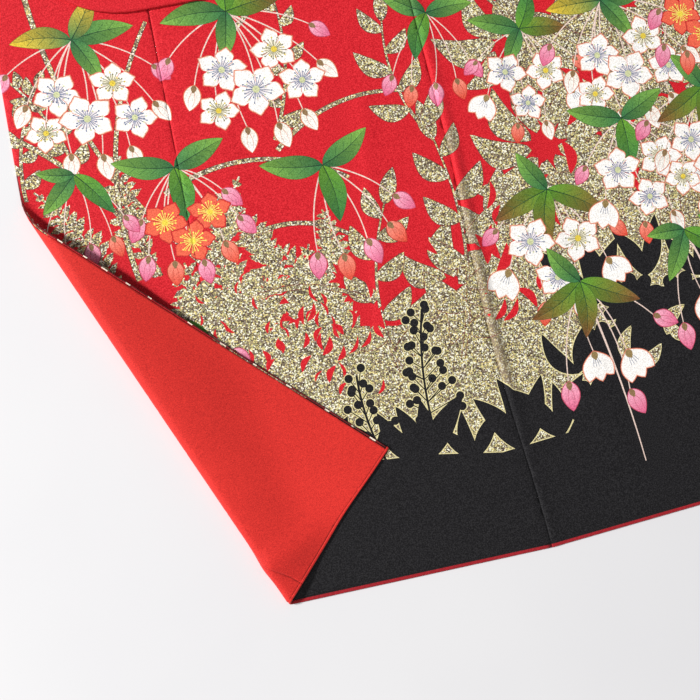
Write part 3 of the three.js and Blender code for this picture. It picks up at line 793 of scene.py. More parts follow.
# Gold sprigs and arching stems on the red ground. Each has a fine darker red line round it,
# which sets it off from the red.
for start, end, bow, leaves, length, width, teeth in (
    ((-404, 186), (-384, 350), 0.10, 8, 52, 24, 0),
    ((-346, 190), (-322, 400), -0.08, 9, 58, 26, 0),
    ((-322, 400), (-344, 520), 0.10, 6, 48, 20, 0),
    ((-700, 420), (-668, 520), 0.08, 8, 24, 13, 0),
    ((-650, 430), (-700, 540), -0.08, 8, 24, 13, 0),
    ((-470, 430), (-440, 560), -0.08, 8, 30, 14, 0),
    ((110, 250), (150, 470), 0.1, 9, 52, 24, 0),
    ((330, 230), (300, 430), -0.12, 9, 50, 22, 0),
    ((520, 220), (560, 400), 0.1, 8, 48, 22, 0),
):
    gold_sprig(arc(start, end, bow), leaves, length, width, teeth)
for start, end, bow in (
    ((-552, 330), (-402, 312), 0.2),
    ((-470, 420), (-340, 452), 0.12),
    ((-580, 402), (-410, 382), 0.14),
    ((-530, 290), (-415, 262), 0.12),
    ((-730, 500), (-600, 330), 0.1),
    ((-660, 600), (-560, 330), -0.08),
    ((-620, 330), (-560, 560), 0.1),
    ((-500, 520), (-330, 590), 0.12),
    ((40, 380), (160, 440), 0.14),
    ((220, 300), (330, 380), -0.14),
    ((-340, 580), (-200, 470), 0.12),
):
    paint(ribbon(arc(start, end, bow, 24), 5.6, 4.0), UNDERLINE)
    paint(ribbon(arc(start, end, bow, 24), 4.6, 3.2), FOIL, 1)

# Red shows between the gold leaves in curved drops, smaller among the ferns.
for low_x, high_x, low_y, high_y, count, length in (
    (-650, -500, 190, 300, 52, 13),
    (-500, -410, 175, 300, 36, 16),
    (-350, -240, 205, 330, 11, 29),
    (-240, -60, 290, 430, 10, 32),
    (-40, 400, 215, 300, 9, 28),
):
    for i in range(count):
        x, y = dice.uniform(low_x, high_x), dice.uniform(low_y, high_y)
        long = length * dice.uniform(0.7, 1.25)
        bend = dice.choice((-0.16, 0.16))
        drop = leaf_shape(long, long * dice.uniform(0.18, 0.36), bend, swell=0.9)
        paint(turned(drop, x, y, math.radians(dice.uniform(40, 130))), RED)

# The dark ground of the hem, with leaf, flower and berry silhouettes along its top. Each has a
# fine cream line round it, and all those lines come before the dark shapes, which so run
# together.
skyline = [(-760, 112), (-640, 116), (-560, 118), (-470, 122), (-400, 112), (-330, 96)]
skyline += [(-262, 98), (-226, 140), (-186, 186), (-130, 190), (-70, 166), (0, 160), (90, 176)]
skyline += [(190, 158), (300, 136), (430, 124), (600, 128), (760, 116)]
for x, y, radius, lobes in (
    (-208, 168, 30, 9),
    (-166, 204, 34, 10),
    (-236, 122, 24, 8),
    (-116, 196, 32, 9),
    (-60, 178, 30, 9),
    (-10, 176, 32, 10),
    (50, 180, 30, 9),
    (104, 186, 32, 9),
    (160, 176, 28, 8),
    (220, 152, 26, 9),
    (300, 140, 24, 8),
    (420, 128, 22, 8),
    (560, 130, 24, 9),
):
    turn = dice.uniform(0, 1)
    dark.append((lobed(x, y, radius, lobes, turn, 0.9), lobed(x, y, radius, lobes, turn)))
for x, y, count, size in (
    (-700, 106, 2, 44),
    (-637, 112, 2, 46),
    (-580, 114, 1, 50),
    (-544, 116, 3, 46),
    (-496, 118, 3, 54),
    (-450, 116, 2, 48),
    (-405, 106, 4, 70),
    (-356, 98, 3, 52),
    (-311, 94, 3, 66),
    (-270, 96, 3, 62),
    (-238, 150, 2, 60),
    (-204, 210, 3, 78),
    (-146, 226, 2, 62),
    (-90, 214, 2, 62),
    (-30, 204, 2, 58),
    (30, 200, 2, 60),
    (80, 210, 2, 60),
    (140, 196, 2, 58),
    (205, 168, 2, 58),
    (255, 150, 1, 60),
    (368, 120, 3, 56),
    (494, 112, 3, 56),
    (635, 112, 2, 56),
):
    for i in range(count):
        angle = 90 + 100 * ((i + 0.5) / count - 0.5) + dice.uniform(-7, 7)
        length = size * dice.uniform(0.84, 1.12)
        bend = dice.uniform(-0.12, 0.12)
        silhouette(x, y, math.radians(angle), length, length * 0.31, bend)
for x, y, height, count, lean in (
    (-388, 120, 126, 30, 0.12),
    (-440, 116, 84, 16, -0.1),
    (-60, 190, 96, 20, 0.1),
    (250, 150, 110, 24, 0.1),
    (450, 120, 90, 18, -0.1),
):
    berries(x, y, height, count, lean)
ground = [[(-760, -60)] + [(x, y + rim) for x, y in skyline] + [(760, -60)] for rim in (0.9, 0)]
dark.append(ground)
for rim, shape in dark:
    paint(rim, CREAM)
for rim, shape in dark:
    paint(shape, BLACK)
for x, y, angle, length, width, bend in (
    (-186, 150, 70, 34, 12, 0.16),
    (-176, 146, 24, 30, 12, -0.16),
    (-140, 166, 44, 34, 13, 0.16),
    (-122, 156, 120, 26, 10, 0.1),
    (-104, 130, 20, 26, 10, -0.16),
    (-76, 156, 70, 30, 11, 0.16),
    (-30, 136, 60, 32, 12, 0.16),
    (0, 100, 30, 26, 9, 0.1),
    (56, 146, 80, 32, 12, -0.16),
    (70, 140, 30, 28, 11, 0.16),
    (150, 136, 50, 28, 10, 0.16),
):
    paint(turned(leaf_shape(length, width, bend, grow=0.8), x, y, math.radians(angle)), CREAM)
    paint(turned(leaf_shape(length, width, bend), x, y, math.radians(angle)), FOIL, 1)

# Free edge of each front: a narrow deep red rim of painted shade along the edge, with a few
# cream dashes, which runs on over the folded corner. A front fans out from its side seam, and
# its hem rises outward.
BACK_WIDTH, FRONT_WIDTH, OVERLAP_WIDTH = 305, 278, 148
COLLAR_START, OVERLAP_TAPER = 830, 12
FAN, HEM_RISE = math.radians(2.9), math.radians(3.55)


def on_front(out, up):
    """Plan place on the left front, from its side seam's foot along its hem and up from it."""
    x = -BACK_WIDTH - out * math.cos(HEM_RISE) + up * math.sin(FAN)
    return x, out * math.sin(HEM_RISE) + up * math.cos(FAN)


def edge_out(up):
    return FRONT_WIDTH + OVERLAP_WIDTH - OVERLAP_TAPER * up / COLLAR_START


def free_edge(up, inset=0):
    return on_front(edge_out(up) - inset, up)


edge_start = len(design)
rim_top = 420
for hand in (1, -1):
    rim = [free_edge(up, inset) for up, inset in ((0, -2), (rim_top, -2), (rim_top, 1.2), (0, 1.2))]
    # The rim's deep red is painted shade, darker along the cloth's edge.
    paint([(hand * x, y) for x, y in rim], rgb(112, 26, 28))
    up = 12
    while up < rim_top - 15:
        dash = ribbon([free_edge(up, 0.7), free_edge(up + dice.uniform(3, 7), 0.7)], 1.0)
        paint([(hand * x, y) for x, y in dash], rgb(240, 230, 208))
        up += dice.uniform(20, 42)
edge_marks = design[edge_start:]

# Sprays of blossom over it all: each hangs from a node of leaves. They are close together on
# the wearer's left front and along the back, and sparser on the right.
for x, y, turn, size, leaves, heads in (
    (-628, 556, -4, 0.95, "gilt", "cluster"),
    (-486, 556, 6, 1.0, "four", "cluster"),
    (-566, 424, 4, 0.95, "three", "coral"),
    (-654, 436, -8, 0.8, "low", "buds"),
    (-432, 398, 10, 1.0, "three", "buds"),
    (-602, 288, 6, 0.85, "low", "buds"),
    (-224, 330, -6, 1.0, "ripe", "pair"),
    (-214, 236, 4, 1.0, "ripe", "pendant"),
    (-300, 520, -14, 0.85, "three", "buds"),
    (-212, 488, -6, 0.85, "four", "pair"),
    (-124, 500, 6, 1.0, "gilt", "cluster"),
    (-132, 382, 8, 0.95, "three", "pair"),
    (-96, 262, 10, 0.95, "low", "pendant"),
    (-40, 396, -4, 1.0, "ripe", "cluster"),
    (-30, 250, -8, 0.9, "three", "coral"),
    (-20, 520, 0, 1.0, "gilt", "coral"),
    (70, 400, -6, 1.0, "three", "cluster"),
    (140, 280, 0, 0.9, "ripe", "pendant"),
    (190, 380, 6, 1.0, "ripe", "pair"),
    (260, 500, 0, 1.0, "four", "cluster"),
    (300, 300, 6, 0.95, "low", "coral"),
    (390, 380, -8, 1.0, "three", "buds"),
    (480, 330, 4, 1.0, "four", "cluster"),
    (620, 340, 0, 1.0, "three", "pair"),
    (560, 500, 8, 1.0, "gilt", "coral"),
):
    spray(x, y, turn, size, leaves, heads)

# Back: two halves of silk crepe sewn together down the centre, with a soft tuck of spare cloth
# beside each side seam. Over their upper part they lie on the fronts and the collar.
BODY_LENGTH, SHOULDER_WIDTH, SIDE_SEAM = 1650, 325, 1270
SEAM_BOW, BOW_LENGTH = 7, 412.5
NECK_DROP, NECK_HALF = 25, 90
COLLAR_WIDTH, COLLAR_END_GAP, COLLAR_SET_IN = 56, 45, 30
SHEET_TOP, SILK_WALL, SEAM = 1.4, 1.3, 0.03


def smooth(f):
    f = min(max(f, 0), 1)
    return f * f * (3 - 2 * f)


def off_front(x, y):
    """The out and up of a plan place, the other way round from on_front()."""
    skew = -math.cos(HEM_RISE - FAN)
    from_foot = x + BACK_WIDTH
    out = (from_foot * math.cos(FAN) - y * math.sin(FAN)) / skew
    return out, (-math.cos(HEM_RISE) * y - math.sin(HEM_RISE) * from_foot) / skew


def back_side(y):
    """x of the left side seam, which bows outward near the hem."""
    bow = SEAM_BOW * math.sin(math.pi * min(y / BOW_LENGTH, 1)) ** 2
    return -BACK_WIDTH - (SHOULDER_WIDTH - BACK_WIDTH) * y / BODY_LENGTH - bow


def neckline(x):
    return BODY_LENGTH - NECK_DROP * (1 - min(abs(x) / NECK_HALF, 1) ** 2)


def away(path, x, y):
    """Distance of a place from a path."""
    least = 1e9
    for (ax, ay), (bx, by) in zip(path, path[1:]):
        ux, uy = bx - ax, by - ay
        f = min(max(((x - ax) * ux + (y - ay) * uy) / (ux * ux + uy * uy), 0), 1)
        least = min(least, math.hypot(x - ax - ux * f, y - ay - uy * f))
    return least


def outside(ring, x, y):
    """Distance of a place from a ring, 0 inside it."""
    closed = ring + ring[:1]
    within = False
    for (ax, ay), (bx, by) in zip(closed, closed[1:]):
        if (ay > y) != (by > y) and x < ax + (y - ay) / (by - ay) * (bx - ax):
            within = not within
    return 0 if within else away(closed, x, y)


LIFT_KEPT, LIFT_FALL = 45, 60


def lift(distance):
    """Share of a layer's height that the cloth over it keeps at a distance from its edge."""
    return 1 - smooth((distance - LIFT_KEPT) / LIFT_FALL)


# The overlap is cut off slanting, from the collar's foot towards the neck. overlap_tip is where
# that cut meets its seam with the front.
collar_foot, corner, seam_foot = free_edge(COLLAR_START), free_edge(0), on_front(FRONT_WIDTH, 0)
neck_point, side_top = (-NECK_HALF, BODY_LENGTH), (back_side(SIDE_SEAM), SIDE_SEAM)
front_shoulder = [(-372, 1300), (-345, 1460), (-SHOULDER_WIDTH, BODY_LENGTH)]
under_back = [neck_point, (-185, 1500), (-262, 1380)]
cut_x, cut_y = neck_point[0] - collar_foot[0], neck_point[1] - collar_foot[1]
seam_top = on_front(FRONT_WIDTH, COLLAR_START)
seam_x, seam_y = seam_top[0] - seam_foot[0], seam_top[1] - seam_foot[1]
share = (cut_x * (collar_foot[1] - seam_foot[1]) - cut_y * (collar_foot[0] - seam_foot[0])) / (
    cut_x * seam_y - cut_y * seam_x
)
overlap_tip = (seam_foot[0] + share * seam_x, seam_foot[1] + share * seam_y)
cut_long = math.hypot(cut_x, cut_y)
collar_end = (
    collar_foot[0] + (COLLAR_END_GAP * cut_x + COLLAR_SET_IN * cut_y) / cut_long,
    collar_foot[1] + (COLLAR_END_GAP * cut_y - COLLAR_SET_IN * cut_x) / cut_long,
)
half_collar = [collar_end, (-330, 1270), (-262, 1400), (-185, 1530), (-135, 1612)]
half_collar += [(-95, 1646), (-50, 1656)]
collar_path = half_collar + [(0, 1654)] + [(-x, y) for x, y in half_collar[::-1]]

# low_ring is the part of a front that lies under the back and the sleeve, and spread_ring is the
# whole front with its overlap.
low_ring = [side_top, *under_back[::-1], *front_shoulder[::-1]]
spread_ring = [corner, collar_foot, overlap_tip, *front_shoulder, *under_back, side_top]
spread_ring.append((-BACK_WIDTH, 0))
FRONT_STEP, COLLAR_STEP, LAYERS_FROM = 1.7, 4, 420


def layers(ring, x, y):
    """Height of the layers under a place: a ring of cloth below, and the collar on it."""
    if y < LAYERS_FROM and ring is low_ring:
        return 0
    below = FRONT_STEP * lift(outside(ring, -abs(x), y))
    return below + COLLAR_STEP * lift(away(collar_path, x, y) - COLLAR_WIDTH / 2)


# Main creases: x and y of the start and of the end, height, half width
CREASES = (
    (-378, 470, -416, 205, 0.9, 9),
    (-395, 470, -440, 180, -0.7, 10),
    (-540, 560, -500, 260, 0.6, 16),
    (-640, 560, -575, 330, -0.5, 16),
    (-255, 560, -215, 40, 0.7, 14),
    (-225, 560, -180, 30, -0.6, 16),
    (-130, 600, -110, 60, 0.6, 18),
    (-60, 560, -40, 120, -0.5, 14),
    (-300, 620, -270, 420, -0.5, 12),
)


def creases(x, y):
    """Height that the main creases give a place."""
    height = 0
    for ax, ay, bx, by, rise, width in CREASES:
        ux, uy = bx - ax, by - ay
        long = math.hypot(ux, uy)
        f = ((x - ax) * ux + (y - ay) * uy) / long**2
        d = ((x - ax) * uy - (y - ay) * ux) / long
        if -0.1 < f < 1.1 and abs(d) < 3 * width:
            ends = smooth((f + 0.1) * 4) * smooth((1.1 - f) * 4)
            height += rise * ends * math.exp(-((d / width) ** 2))
    return max(height, -0.25)


DIP, DIP_WIDTH = 0.5, 1.8


def dip(distance):
    """Cloth turns down a little into a seam or an edge."""
    return DIP * (1 - smooth(distance / DIP_WIDTH))


TUCK_HEIGHT, TUCK_WIDTH, TUCK_PEAK = 3.3, 15, 230


def laid_back(x, y, rise):
    """The back as it lies. Its tucks fade from their peak towards the hem and up the back."""
    left = -abs(x)
    across = (left - back_side(y)) / TUCK_WIDTH
    tuck = 0
    if across < 1:
        fade = (1 - smooth((y - 430) / 700)) * (1 - 0.55 * smooth((y - TUCK_PEAK) / 240))
        fade *= 0.12 + 0.88 * smooth((y - 80) / 150)
        tuck = TUCK_HEIGHT * fade * math.sin(math.pi * max(across, 0) ** 0.6) ** 2
    return x, y, layers(low_ring, x, y) + tuck + rise


PRINT_TOP = 640


def spacing(x, y):
    """How far apart the places are where the cloth can bend."""
    return 8 if y < PRINT_TOP else 24


def net(x0, y0, x1, y1):
    """Staggered places for the cloth to bend at, closer in the part that the print covers."""
    made, y, row = [], y0 + 3, 0
    while y < y1:
        step = spacing(x0, y)
        count = int((x1 - x0) / step) + 2
        made += [(x0 + (i + 0.5 * (row % 2)) * step, y) for i in range(count)]
        y += step * 0.87
        row += 1
    return made


def shell(obj, wall):
    """Gives a sheet its wall, below the face that was modelled."""
    solid = obj.modifiers.new("wall", "SOLIDIFY")
    solid.thickness, solid.offset = wall / 1000, -1
    solid.use_even_offset = False


def even_glint(x, y):
    return 1


def inset(ring, depth):
    """The places of a ring, moved inward. The ring runs counter-clockwise."""
    made = []
    for i, (x, y) in enumerate(ring):
        (ax, ay), (bx, by) = ring[i - 1], ring[(i + 1) % len(ring)]
        long = math.hypot(bx - ax, by - ay)
        made.append((x - (by - ay) / long * depth, y + (bx - ax) / long * depth))
    return made


def crossing(shapes, ring):
    """Those of the shapes whose box crosses the ring's."""
    xs, ys = [x for x, y in ring], [y for x, y in ring]
    low_x, low_y, high_x, high_y = min(xs), min(ys), max(xs), max(ys)
    kept = []
    for shape in shapes:
        left, low, right, high = shape[3]
        if right > low_x and left < high_x and high > low_y and low < high_y:
            kept.append(shape)
    return kept


def underside(border, places, surface, wall, first):
    """A plain face cut to a border, a wall below a surface. Its spots are numbered from first.

    Returns the spots, the faces and the spot under each place of the border.
    """
    corners, outline = border + [Vector(p) for p in places], list(range(len(border)))
    flat, _, triangles, sources, _, owners = delaunay_2d_cdt(corners, [], [outline], 1, 1e-5, True)
    spots, faces, numbers = [], [], {}
    for t, o in zip(triangles, owners):
        if 0 in o:
            for v in t:
                if v not in numbers:
                    numbers[v] = first + len(spots)
                    spots.append(to_frame(*surface(flat[v].x, flat[v].y, wall)))
            faces.append([numbers[v] for v in t[::-1]])
    under = {s: number for v, number in numbers.items() for s in sources[v] if s < len(border)}
    return spots, faces, under


def cloth(
    name,
    ring,
    places,
    surface,
    wall,
    material,
    shapes=(),
    flip=False,
    glint=even_glint,
    fine=None,
    lined=False,
):
    """A sheet cut to a ring of plan places and set on a surface, with the design and painted shade in its colours.

    The net of the cloth follows the outlines of the shapes, and bends at the places between
    them. A lined sheet has a plain underside with a net of its own. Any other has the same net,
    dye and painted shade on both sides. fine(x, y) is the longest side of an outline there.
    """
    closed = zip(ring, ring[1:] + ring[:1])
    if sum(a[0] * b[1] - a[1] * b[0] for a, b in closed) < 0:
        ring = ring[::-1]
    corners, outlines = [Vector(p) for p in ring], [list(range(len(ring)))]
    near = crossing(shapes, ring)
    for outline, *_ in near:
        if fine:
            outline = stepped(outline + outline[:1], fine)[:-1]
        outlines.append(list(range(len(corners), len(corners) + len(outline))))
        corners += [Vector(p) for p in outline]
    corners += [Vector(p) for p in inset(ring, DIP_WIDTH) + places]
    flat, _, triangles, _, _, owners = delaunay_2d_cdt(corners, [], outlines, 1, 1e-5, True)
    kept = [(t, max(o)) for t, o in zip(triangles, owners) if 0 in o]
    if flip:
        kept = [(t[::-1], top) for t, top in kept]

    def dyed_and_shaded(v, top):
        tint, flecks = near[top - 1][1:3] if top else (plain(RED), 0)
        x, y = flat[v]
        return *tint(x, y), flecks and glint(x, y)

    used = {}
    for t, _ in kept:
        for v in t:
            used.setdefault(v, len(used))
    spots = [to_frame(*surface(flat[v].x, flat[v].y)) for v in used]
    faces = [[used[v] for v in t] for t, _ in kept]
    colours = [value for t, top in kept for v in t for value in dyed_and_shaded(v, top)]
    if lined:
        # The border of the top's net is followed once round, and the underside is cut to it.
        edges = {(a, b): top for t, top in kept for a, b in zip(t, t[1:] + t[:1])}
        ahead = {a: b for a, b in edges if (b, a) not in edges}
        loop = [next(iter(ahead))]
        while ahead[loop[-1]] != loop[0]:
            loop.append(ahead[loop[-1]])
        border = [flat[v] for v in loop]
        low_spots, low_faces, under = underside(border, places, surface, wall, len(spots))
        spots += low_spots
        faces += low_faces
        colours += (*RED, 0) * 3 * len(low_faces)
        for i, a in enumerate(loop):
            j = (i + 1) % len(loop)
            b = loop[j]
            faces.append([used[a], under[i], under[j], used[b]])
            colours += dyed_and_shaded(a, edges[a, b]) * 2 + dyed_and_shaded(b, edges[a, b]) * 2
    mesh = bpy.data.meshes.new(name)
    mesh.from_pydata(spots, [], faces)
    mesh.shade_smooth()
    mesh.materials.append(material)
    if material is silk:
        mesh.color_attributes.new("dye", "FLOAT_COLOR", "CORNER").data.foreach_set("color", colours)
    obj = bpy.data.objects.new(name, mesh)
    bpy.context.scene.collection.objects.link(obj)
    if not lined:
        shell(obj, wall)
    return obj


def on_right(surface):
    """The same surface for the other side of the garment."""

    def mirrored(x, y, depth=0):
        px, py, pz = surface(-x, y, depth)
        return -px, py, pz

    return mirrored


def seam_painted_dulling(x, y):
    """Flecks show less along the side seams: painted shade that dulls the gold on the turned cloth of the tucks."""
    return 0.4 + 0.6 * smooth((-abs(x) - back_side(y) - 6) / 7)


def back_surface(x, y, depth=0):
    """Where a place of the left back lies, so deep below its outer face."""
    edge = min(x - back_side(y), -x, y)
    rise = SHEET_TOP + creases(x, y) * smooth((x - back_side(y) - 20) / 10) - dip(edge)
    return laid_back(x, y, rise - depth)


tuck_rows = (3.4, 5.2, 7.2, 9.4, 11.8, 14.4, 17.2, 20.2, 23)
heights = [0, *range(12, PRINT_TOP, 8), *range(660, BODY_LENGTH, 24), BODY_LENGTH]
back_ring = [(back_side(y) + SEAM, y * neckline(back_side(y)) / BODY_LENGTH) for y in heights]
neck_line = [(x, neckline(x)) for x in (-SHOULDER_WIDTH, -NECK_HALF, -60, -30, -SEAM)]
back_ring += stepped(neck_line, spacing)[1:]
back_ring += [(-SEAM, y * neckline(0) / BODY_LENGTH) for y in heights[-2::-1]]
back_ring += [(-SEAM - (BACK_WIDTH - 2 * SEAM) * i / 38, 0) for i in range(1, 38)]
back_places = net(-SHOULDER_WIDTH - SEAM_BOW, 0, 0, BODY_LENGTH)
back_places = [(x, y) for x, y in back_places if x > back_side(y) + 24 and x < -2.5]
for y in heights:
    back_places += [(back_side(y) + row, y) for row in tuck_rows]
for name, hand in (("left", 1), ("right", -1)):
    obj = cloth(
        f"back_{name}",
        [(hand * x, y) for x, y in back_ring],
        [(hand * x, y) for x, y in back_places],
        back_surface if hand == 1 else on_right(back_surface),
        SILK_WALL,
        silk,
        design,
        # Fewer flecks near the side seams, as painted shade.
        glint=seam_painted_dulling,
        lined=True,
    )
    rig.replaces(obj, f"back_{name}")
    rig.slot(obj, "silk")
    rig.ride(obj, "root")
    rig.sheet(obj, flat=(0.325, 1.65), held="laid", rests_on=["floor", f"front_{name}"], area=0.525)

# Fronts and overlaps: silk crepe, spread flat on both sides, with the narrow overlap sewn to the
# front's outer edge. The left pair is folded over at the corner: past the fold the cloth rolls
# over and comes down on itself.
FOLD_EDGE_HEIGHT, FOLD_HEM_OUT = 415, 250
HEM_RADIUS, EDGE_RADIUS = 2.8, 8
BUMP_HEIGHT, BUMP_PLACE, BUMP_WIDTH = 1.4, 40, 13
FLAP_CLEAR, FLAP_SETTLE = 0.4, 16
fold_top, fold_hem = free_edge(FOLD_EDGE_HEIGHT), on_front(FOLD_HEM_OUT, 0)
fold_long = math.hypot(fold_top[0] - fold_hem[0], fold_top[1] - fold_hem[1])
fold_x, fold_y = (fold_top[0] - fold_hem[0]) / fold_long, (fold_top[1] - fold_hem[1]) / fold_long


def even_radius(along):
    """The fold's inner radius without its bump, which grows from the hem to the free edge."""
    return HEM_RADIUS + (EDGE_RADIUS - HEM_RADIUS) * along / fold_long


def fold_place(x, y):
    """How far a place is along the fold and past it, and the fold's radius there."""
    x, y = x - fold_hem[0], y - fold_hem[1]
    along = x * fold_x + y * fold_y
    bump = BUMP_HEIGHT * math.exp(-(((along - BUMP_PLACE) / BUMP_WIDTH) ** 2))
    return along, y * fold_x - x * fold_y, even_radius(along) + bump


def unfold_place(along, past):
    """The plan place that lies so far along the fold and past it."""
    return (
        fold_hem[0] + along * fold_x - past * fold_y,
        fold_hem[1] + along * fold_y + past * fold_x,
    )


def folded(x, y, rise):
    """Where a place of the cut cloth lies, rise above its lower face, once the corner is over."""
    along, past, radius = fold_place(x, y)
    if past <= 0:
        return x, y, rise
    middle = radius + SHEET_TOP / 2
    turn = min(past / middle, math.pi)
    arm = radius + SHEET_TOP - rise
    run = past - turn * middle
    drop = (2 * radius - FLAP_CLEAR) * smooth(run / (FLAP_SETTLE * radius))
    out = arm * math.sin(turn) - run
    x, y = unfold_place(along, out)
    return x, y, SHEET_TOP + radius - arm * math.cos(turn) - drop


def front_edge(x, y):
    """Distance of a place of a front from its side seam, overlap seam or hem."""
    out, up = off_front(x, y)
    side = back_side(y) - x if y < SIDE_SEAM else 9
    return min(side, FRONT_WIDTH - out, up)


def overlap_edge(x, y):
    """Distance of a place of an overlap from its seam, free edge or hem."""
    out, up = off_front(x, y)
    return min(out - FRONT_WIDTH, edge_out(up) - out, up)


FOLD_STEP, FOLD_MARGIN = 1.5, 4
ROW_STEP, ROW_START, ROWS_BEYOND = 5, -16, 8


def fold_spacing(x, y):
    """The same as spacing(), but short where the cloth rolls over."""
    along, past, radius = fold_place(x, y)
    rolled = math.pi * (radius + SHEET_TOP / 2)
    if y < PRINT_TOP and -FOLD_MARGIN < past < rolled + FOLD_MARGIN:
        return FOLD_STEP
    return spacing(x, y)


side_line = [(back_side(y) - SEAM, y) for y in (SIDE_SEAM, 1040, 820, 600, *range(408, -1, -12))]
front_ring = [on_front(FRONT_WIDTH - SEAM, 0), (overlap_tip[0] + SEAM, overlap_tip[1])]
front_ring += [*front_shoulder, *under_back, *side_line, on_front(FRONT_WIDTH - SEAM, 0)]
overlap_ring = [corner, collar_foot, (overlap_tip[0] - SEAM, overlap_tip[1])]
overlap_ring += [on_front(FRONT_WIDTH + SEAM, 0), corner]
rolled_places = []
for i in range(int(fold_long / ROW_STEP) + ROWS_BEYOND):
    along = ROW_START + i * ROW_STEP
    middle = even_radius(along) + SHEET_TOP / 2
    rolled_places += [unfold_place(along, middle * math.pi * k / 12) for k in range(13)]


def clear_of_roll(x, y):
    """True for a place that isn't among the rolled rows."""
    along, past, radius = fold_place(x, y)
    return not -2 < past < math.pi * (radius + SHEET_TOP / 2) + 1


for name, hand in (("left", 1), ("right", -1)):
    for part, ring, edge in (
        ("front", front_ring, front_edge),
        ("overlap", overlap_ring, overlap_edge),
    ):
        line = stepped(ring, fold_spacing if hand == 1 else spacing)[:-1]
        xs, ys = [x for x, y in line], [y for x, y in line]
        places = net(min(xs), min(ys), max(xs), max(ys))
        if hand == 1:
            places = [p for p in places if clear_of_roll(*p)] + rolled_places

        def surface(x, y, depth=0, edge=edge, hand=hand):
            height = SHEET_TOP - dip(edge(x, y)) - depth
            if hand == 1:
                flat_part = 1 - smooth((fold_place(x, y)[1] + 30) / 30)
                return folded(x, y, height + creases(x, y) * flat_part)
            return x, y, height + creases(x, y)

        shapes = design
        if hand == 1:
            # Past the fold only the marks of the free edge show.
            shapes = []
            for shape in design:
                if shape in edge_marks or min(fold_place(*p)[1] for p in shape[0]) < 20:
                    shapes.append(shape)
        obj = cloth(
            f"{part}_{name}",
            [(hand * x, y) for x, y in line],
            [(hand * x, y) for x, y in places],
            surface if hand == 1 else on_right(surface),
            SILK_WALL,
            silk,
            shapes,
            fine=fold_spacing if hand == 1 else None,
            lined=part == "front" or hand == -1,
        )
        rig.replaces(obj, f"{part}_{name}")
        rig.slot(obj, "silk")
        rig.ride(obj, "root")
        flat_size, area = ((0.30, 1.65), 0.341) if part == "front" else ((0.148, 1.037), 0.133)
        held = "folded" if hand == 1 else "laid"
        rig.sheet(obj, flat=flat_size, held=held, rests_on=["floor"], area=area)

# Lining of the folded corner: plain red-orange silk, smooth, with a fine thread. It shows its
# outer face on the flap, stops short of the free edge, and starts a little before the fold's
# highest line. Like the silk it is cut in a front and an overlap.
start, place, finish = new_material("lining_silk", Sheen_Weight=0.12, Specular_IOR_Level=0.3)
thread = start.node("ShaderNodeTexNoise", {"Vector": place, "Scale": 1100.0, "Detail": 1.0})
cloud = start.node("ShaderNodeTexNoise", {"Vector": place, "Scale": 9.0, "Detail": 2.0})
blend = thread * 0.8 + cloud * 0.2
tone = blend.ramp(((0.3, rgb(180, 22, 18)), (0.7, rgb(236, 52, 42))))
lining = finish(tone, 0.68 + thread * 0.1, thread, 0.00004)
LINING_WALL, LINING_EDGE, LINING_SEAM = 0.8, 2.5, 0.15
ON_LINING = -1.1


def lining_surface(x, y):
    return folded(x, y, ON_LINING)


def lining_start(along):
    """How far past the fold the lining starts: an eighth of a turn round it."""
    return (even_radius(along) + SHEET_TOP / 2) * math.pi / 4


def on_lining(places):
    """Those of the places that lie past the lining's start."""
    kept = []
    for x, y in places:
        along, past, radius = fold_place(x, y)
        if past > lining_start(along):
            kept.append((x, y))
    return kept


for part in ("front", "overlap"):
    if part == "front":
        seam = on_lining([on_front(FRONT_WIDTH - SEAM, up) for up in range(130)])
        hem = on_lining([on_front(out, 0) for out in range(277, 240, -1)])
        ring = [on_front(FRONT_WIDTH - SEAM, 0)] + seam[1:] + hem[::-1]
    else:
        seam = on_lining([on_front(FRONT_WIDTH + SEAM, up) for up in range(130)])
        first, last = FRONT_WIDTH + LINING_SEAM, FRONT_WIDTH + OVERLAP_WIDTH - LINING_EDGE
        hem = [on_front(first + (last - first) * i / 36, 0) for i in range(1, 37)]
        free = on_lining([on_front(edge_out(up) - LINING_EDGE, up) for up in range(4, 430, 4)])
        low_along, high_along = fold_place(*seam[-1])[0], fold_place(*free[-1])[0]
        turn_line = []
        for i in range(1, 60):
            along = high_along + (low_along - high_along) * i / 60
            turn_line.append(unfold_place(along, lining_start(along)))
        ring = hem + free + turn_line + seam[::-1]
    places = net(-760, 0, -540, 440) + rolled_places
    obj = cloth(
        f"lining_{part}_left", ring, places, lining_surface, LINING_WALL, lining, flip=True
    )
    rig.replaces(obj, f"lining_{part}_left")
    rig.slot(obj, "lining")
    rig.ride(obj, "root")
    around = zip(ring, ring[1:] + ring[:1])
    area = abs(sum(a[0] * b[1] - a[1] * b[0] for a, b in around)) / 2e6
    flat_size = (0.03, 0.07) if part == "front" else (0.148, 0.42)
    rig.sheet(obj, flat=flat_size, held="folded", rests_on=[f"{part}_left"], area=area)

# Hem rolls: the lining turned out past the hem as a slim rounded roll, 3 mm wide, one for each
# panel. They are lightly padded, and their silk looks a deeper red than on the flap.
start, place, finish = new_material("hem_silk", Sheen_Weight=0.05, Specular_IOR_Level=0.25)
thread = start.node("ShaderNodeTexNoise", {"Vector": place, "Scale": 1100.0, "Detail": 1.0})
tone = thread.ramp(((0.3, rgb(136, 22, 30)), (0.7, rgb(176, 34, 44))))
hem_silk = finish(tone, 0.72 + thread * 0.1, thread, 0.00004)
ROLL_START, ROLL_WIDTH, ROLL_HEIGHT = 0.3, 3.1, 1.42
FLAP_SEAT, FLAP_IN, FLAP_NARROWER = -1.13, 0.6, 0.7
# Share of the width and height above the floor, once round the roll from its lower inner corner
SECTION = ((0, 0.15), (0.35, 0.04), (0.7, 0), (0.9, 0.16), (1, 0.45), (1.03, 0.72))
SECTION += ((1, 0.98), (0.9, 1.26), (0.7, ROLL_HEIGHT), (0.35, 1.4), (0, 1.3))


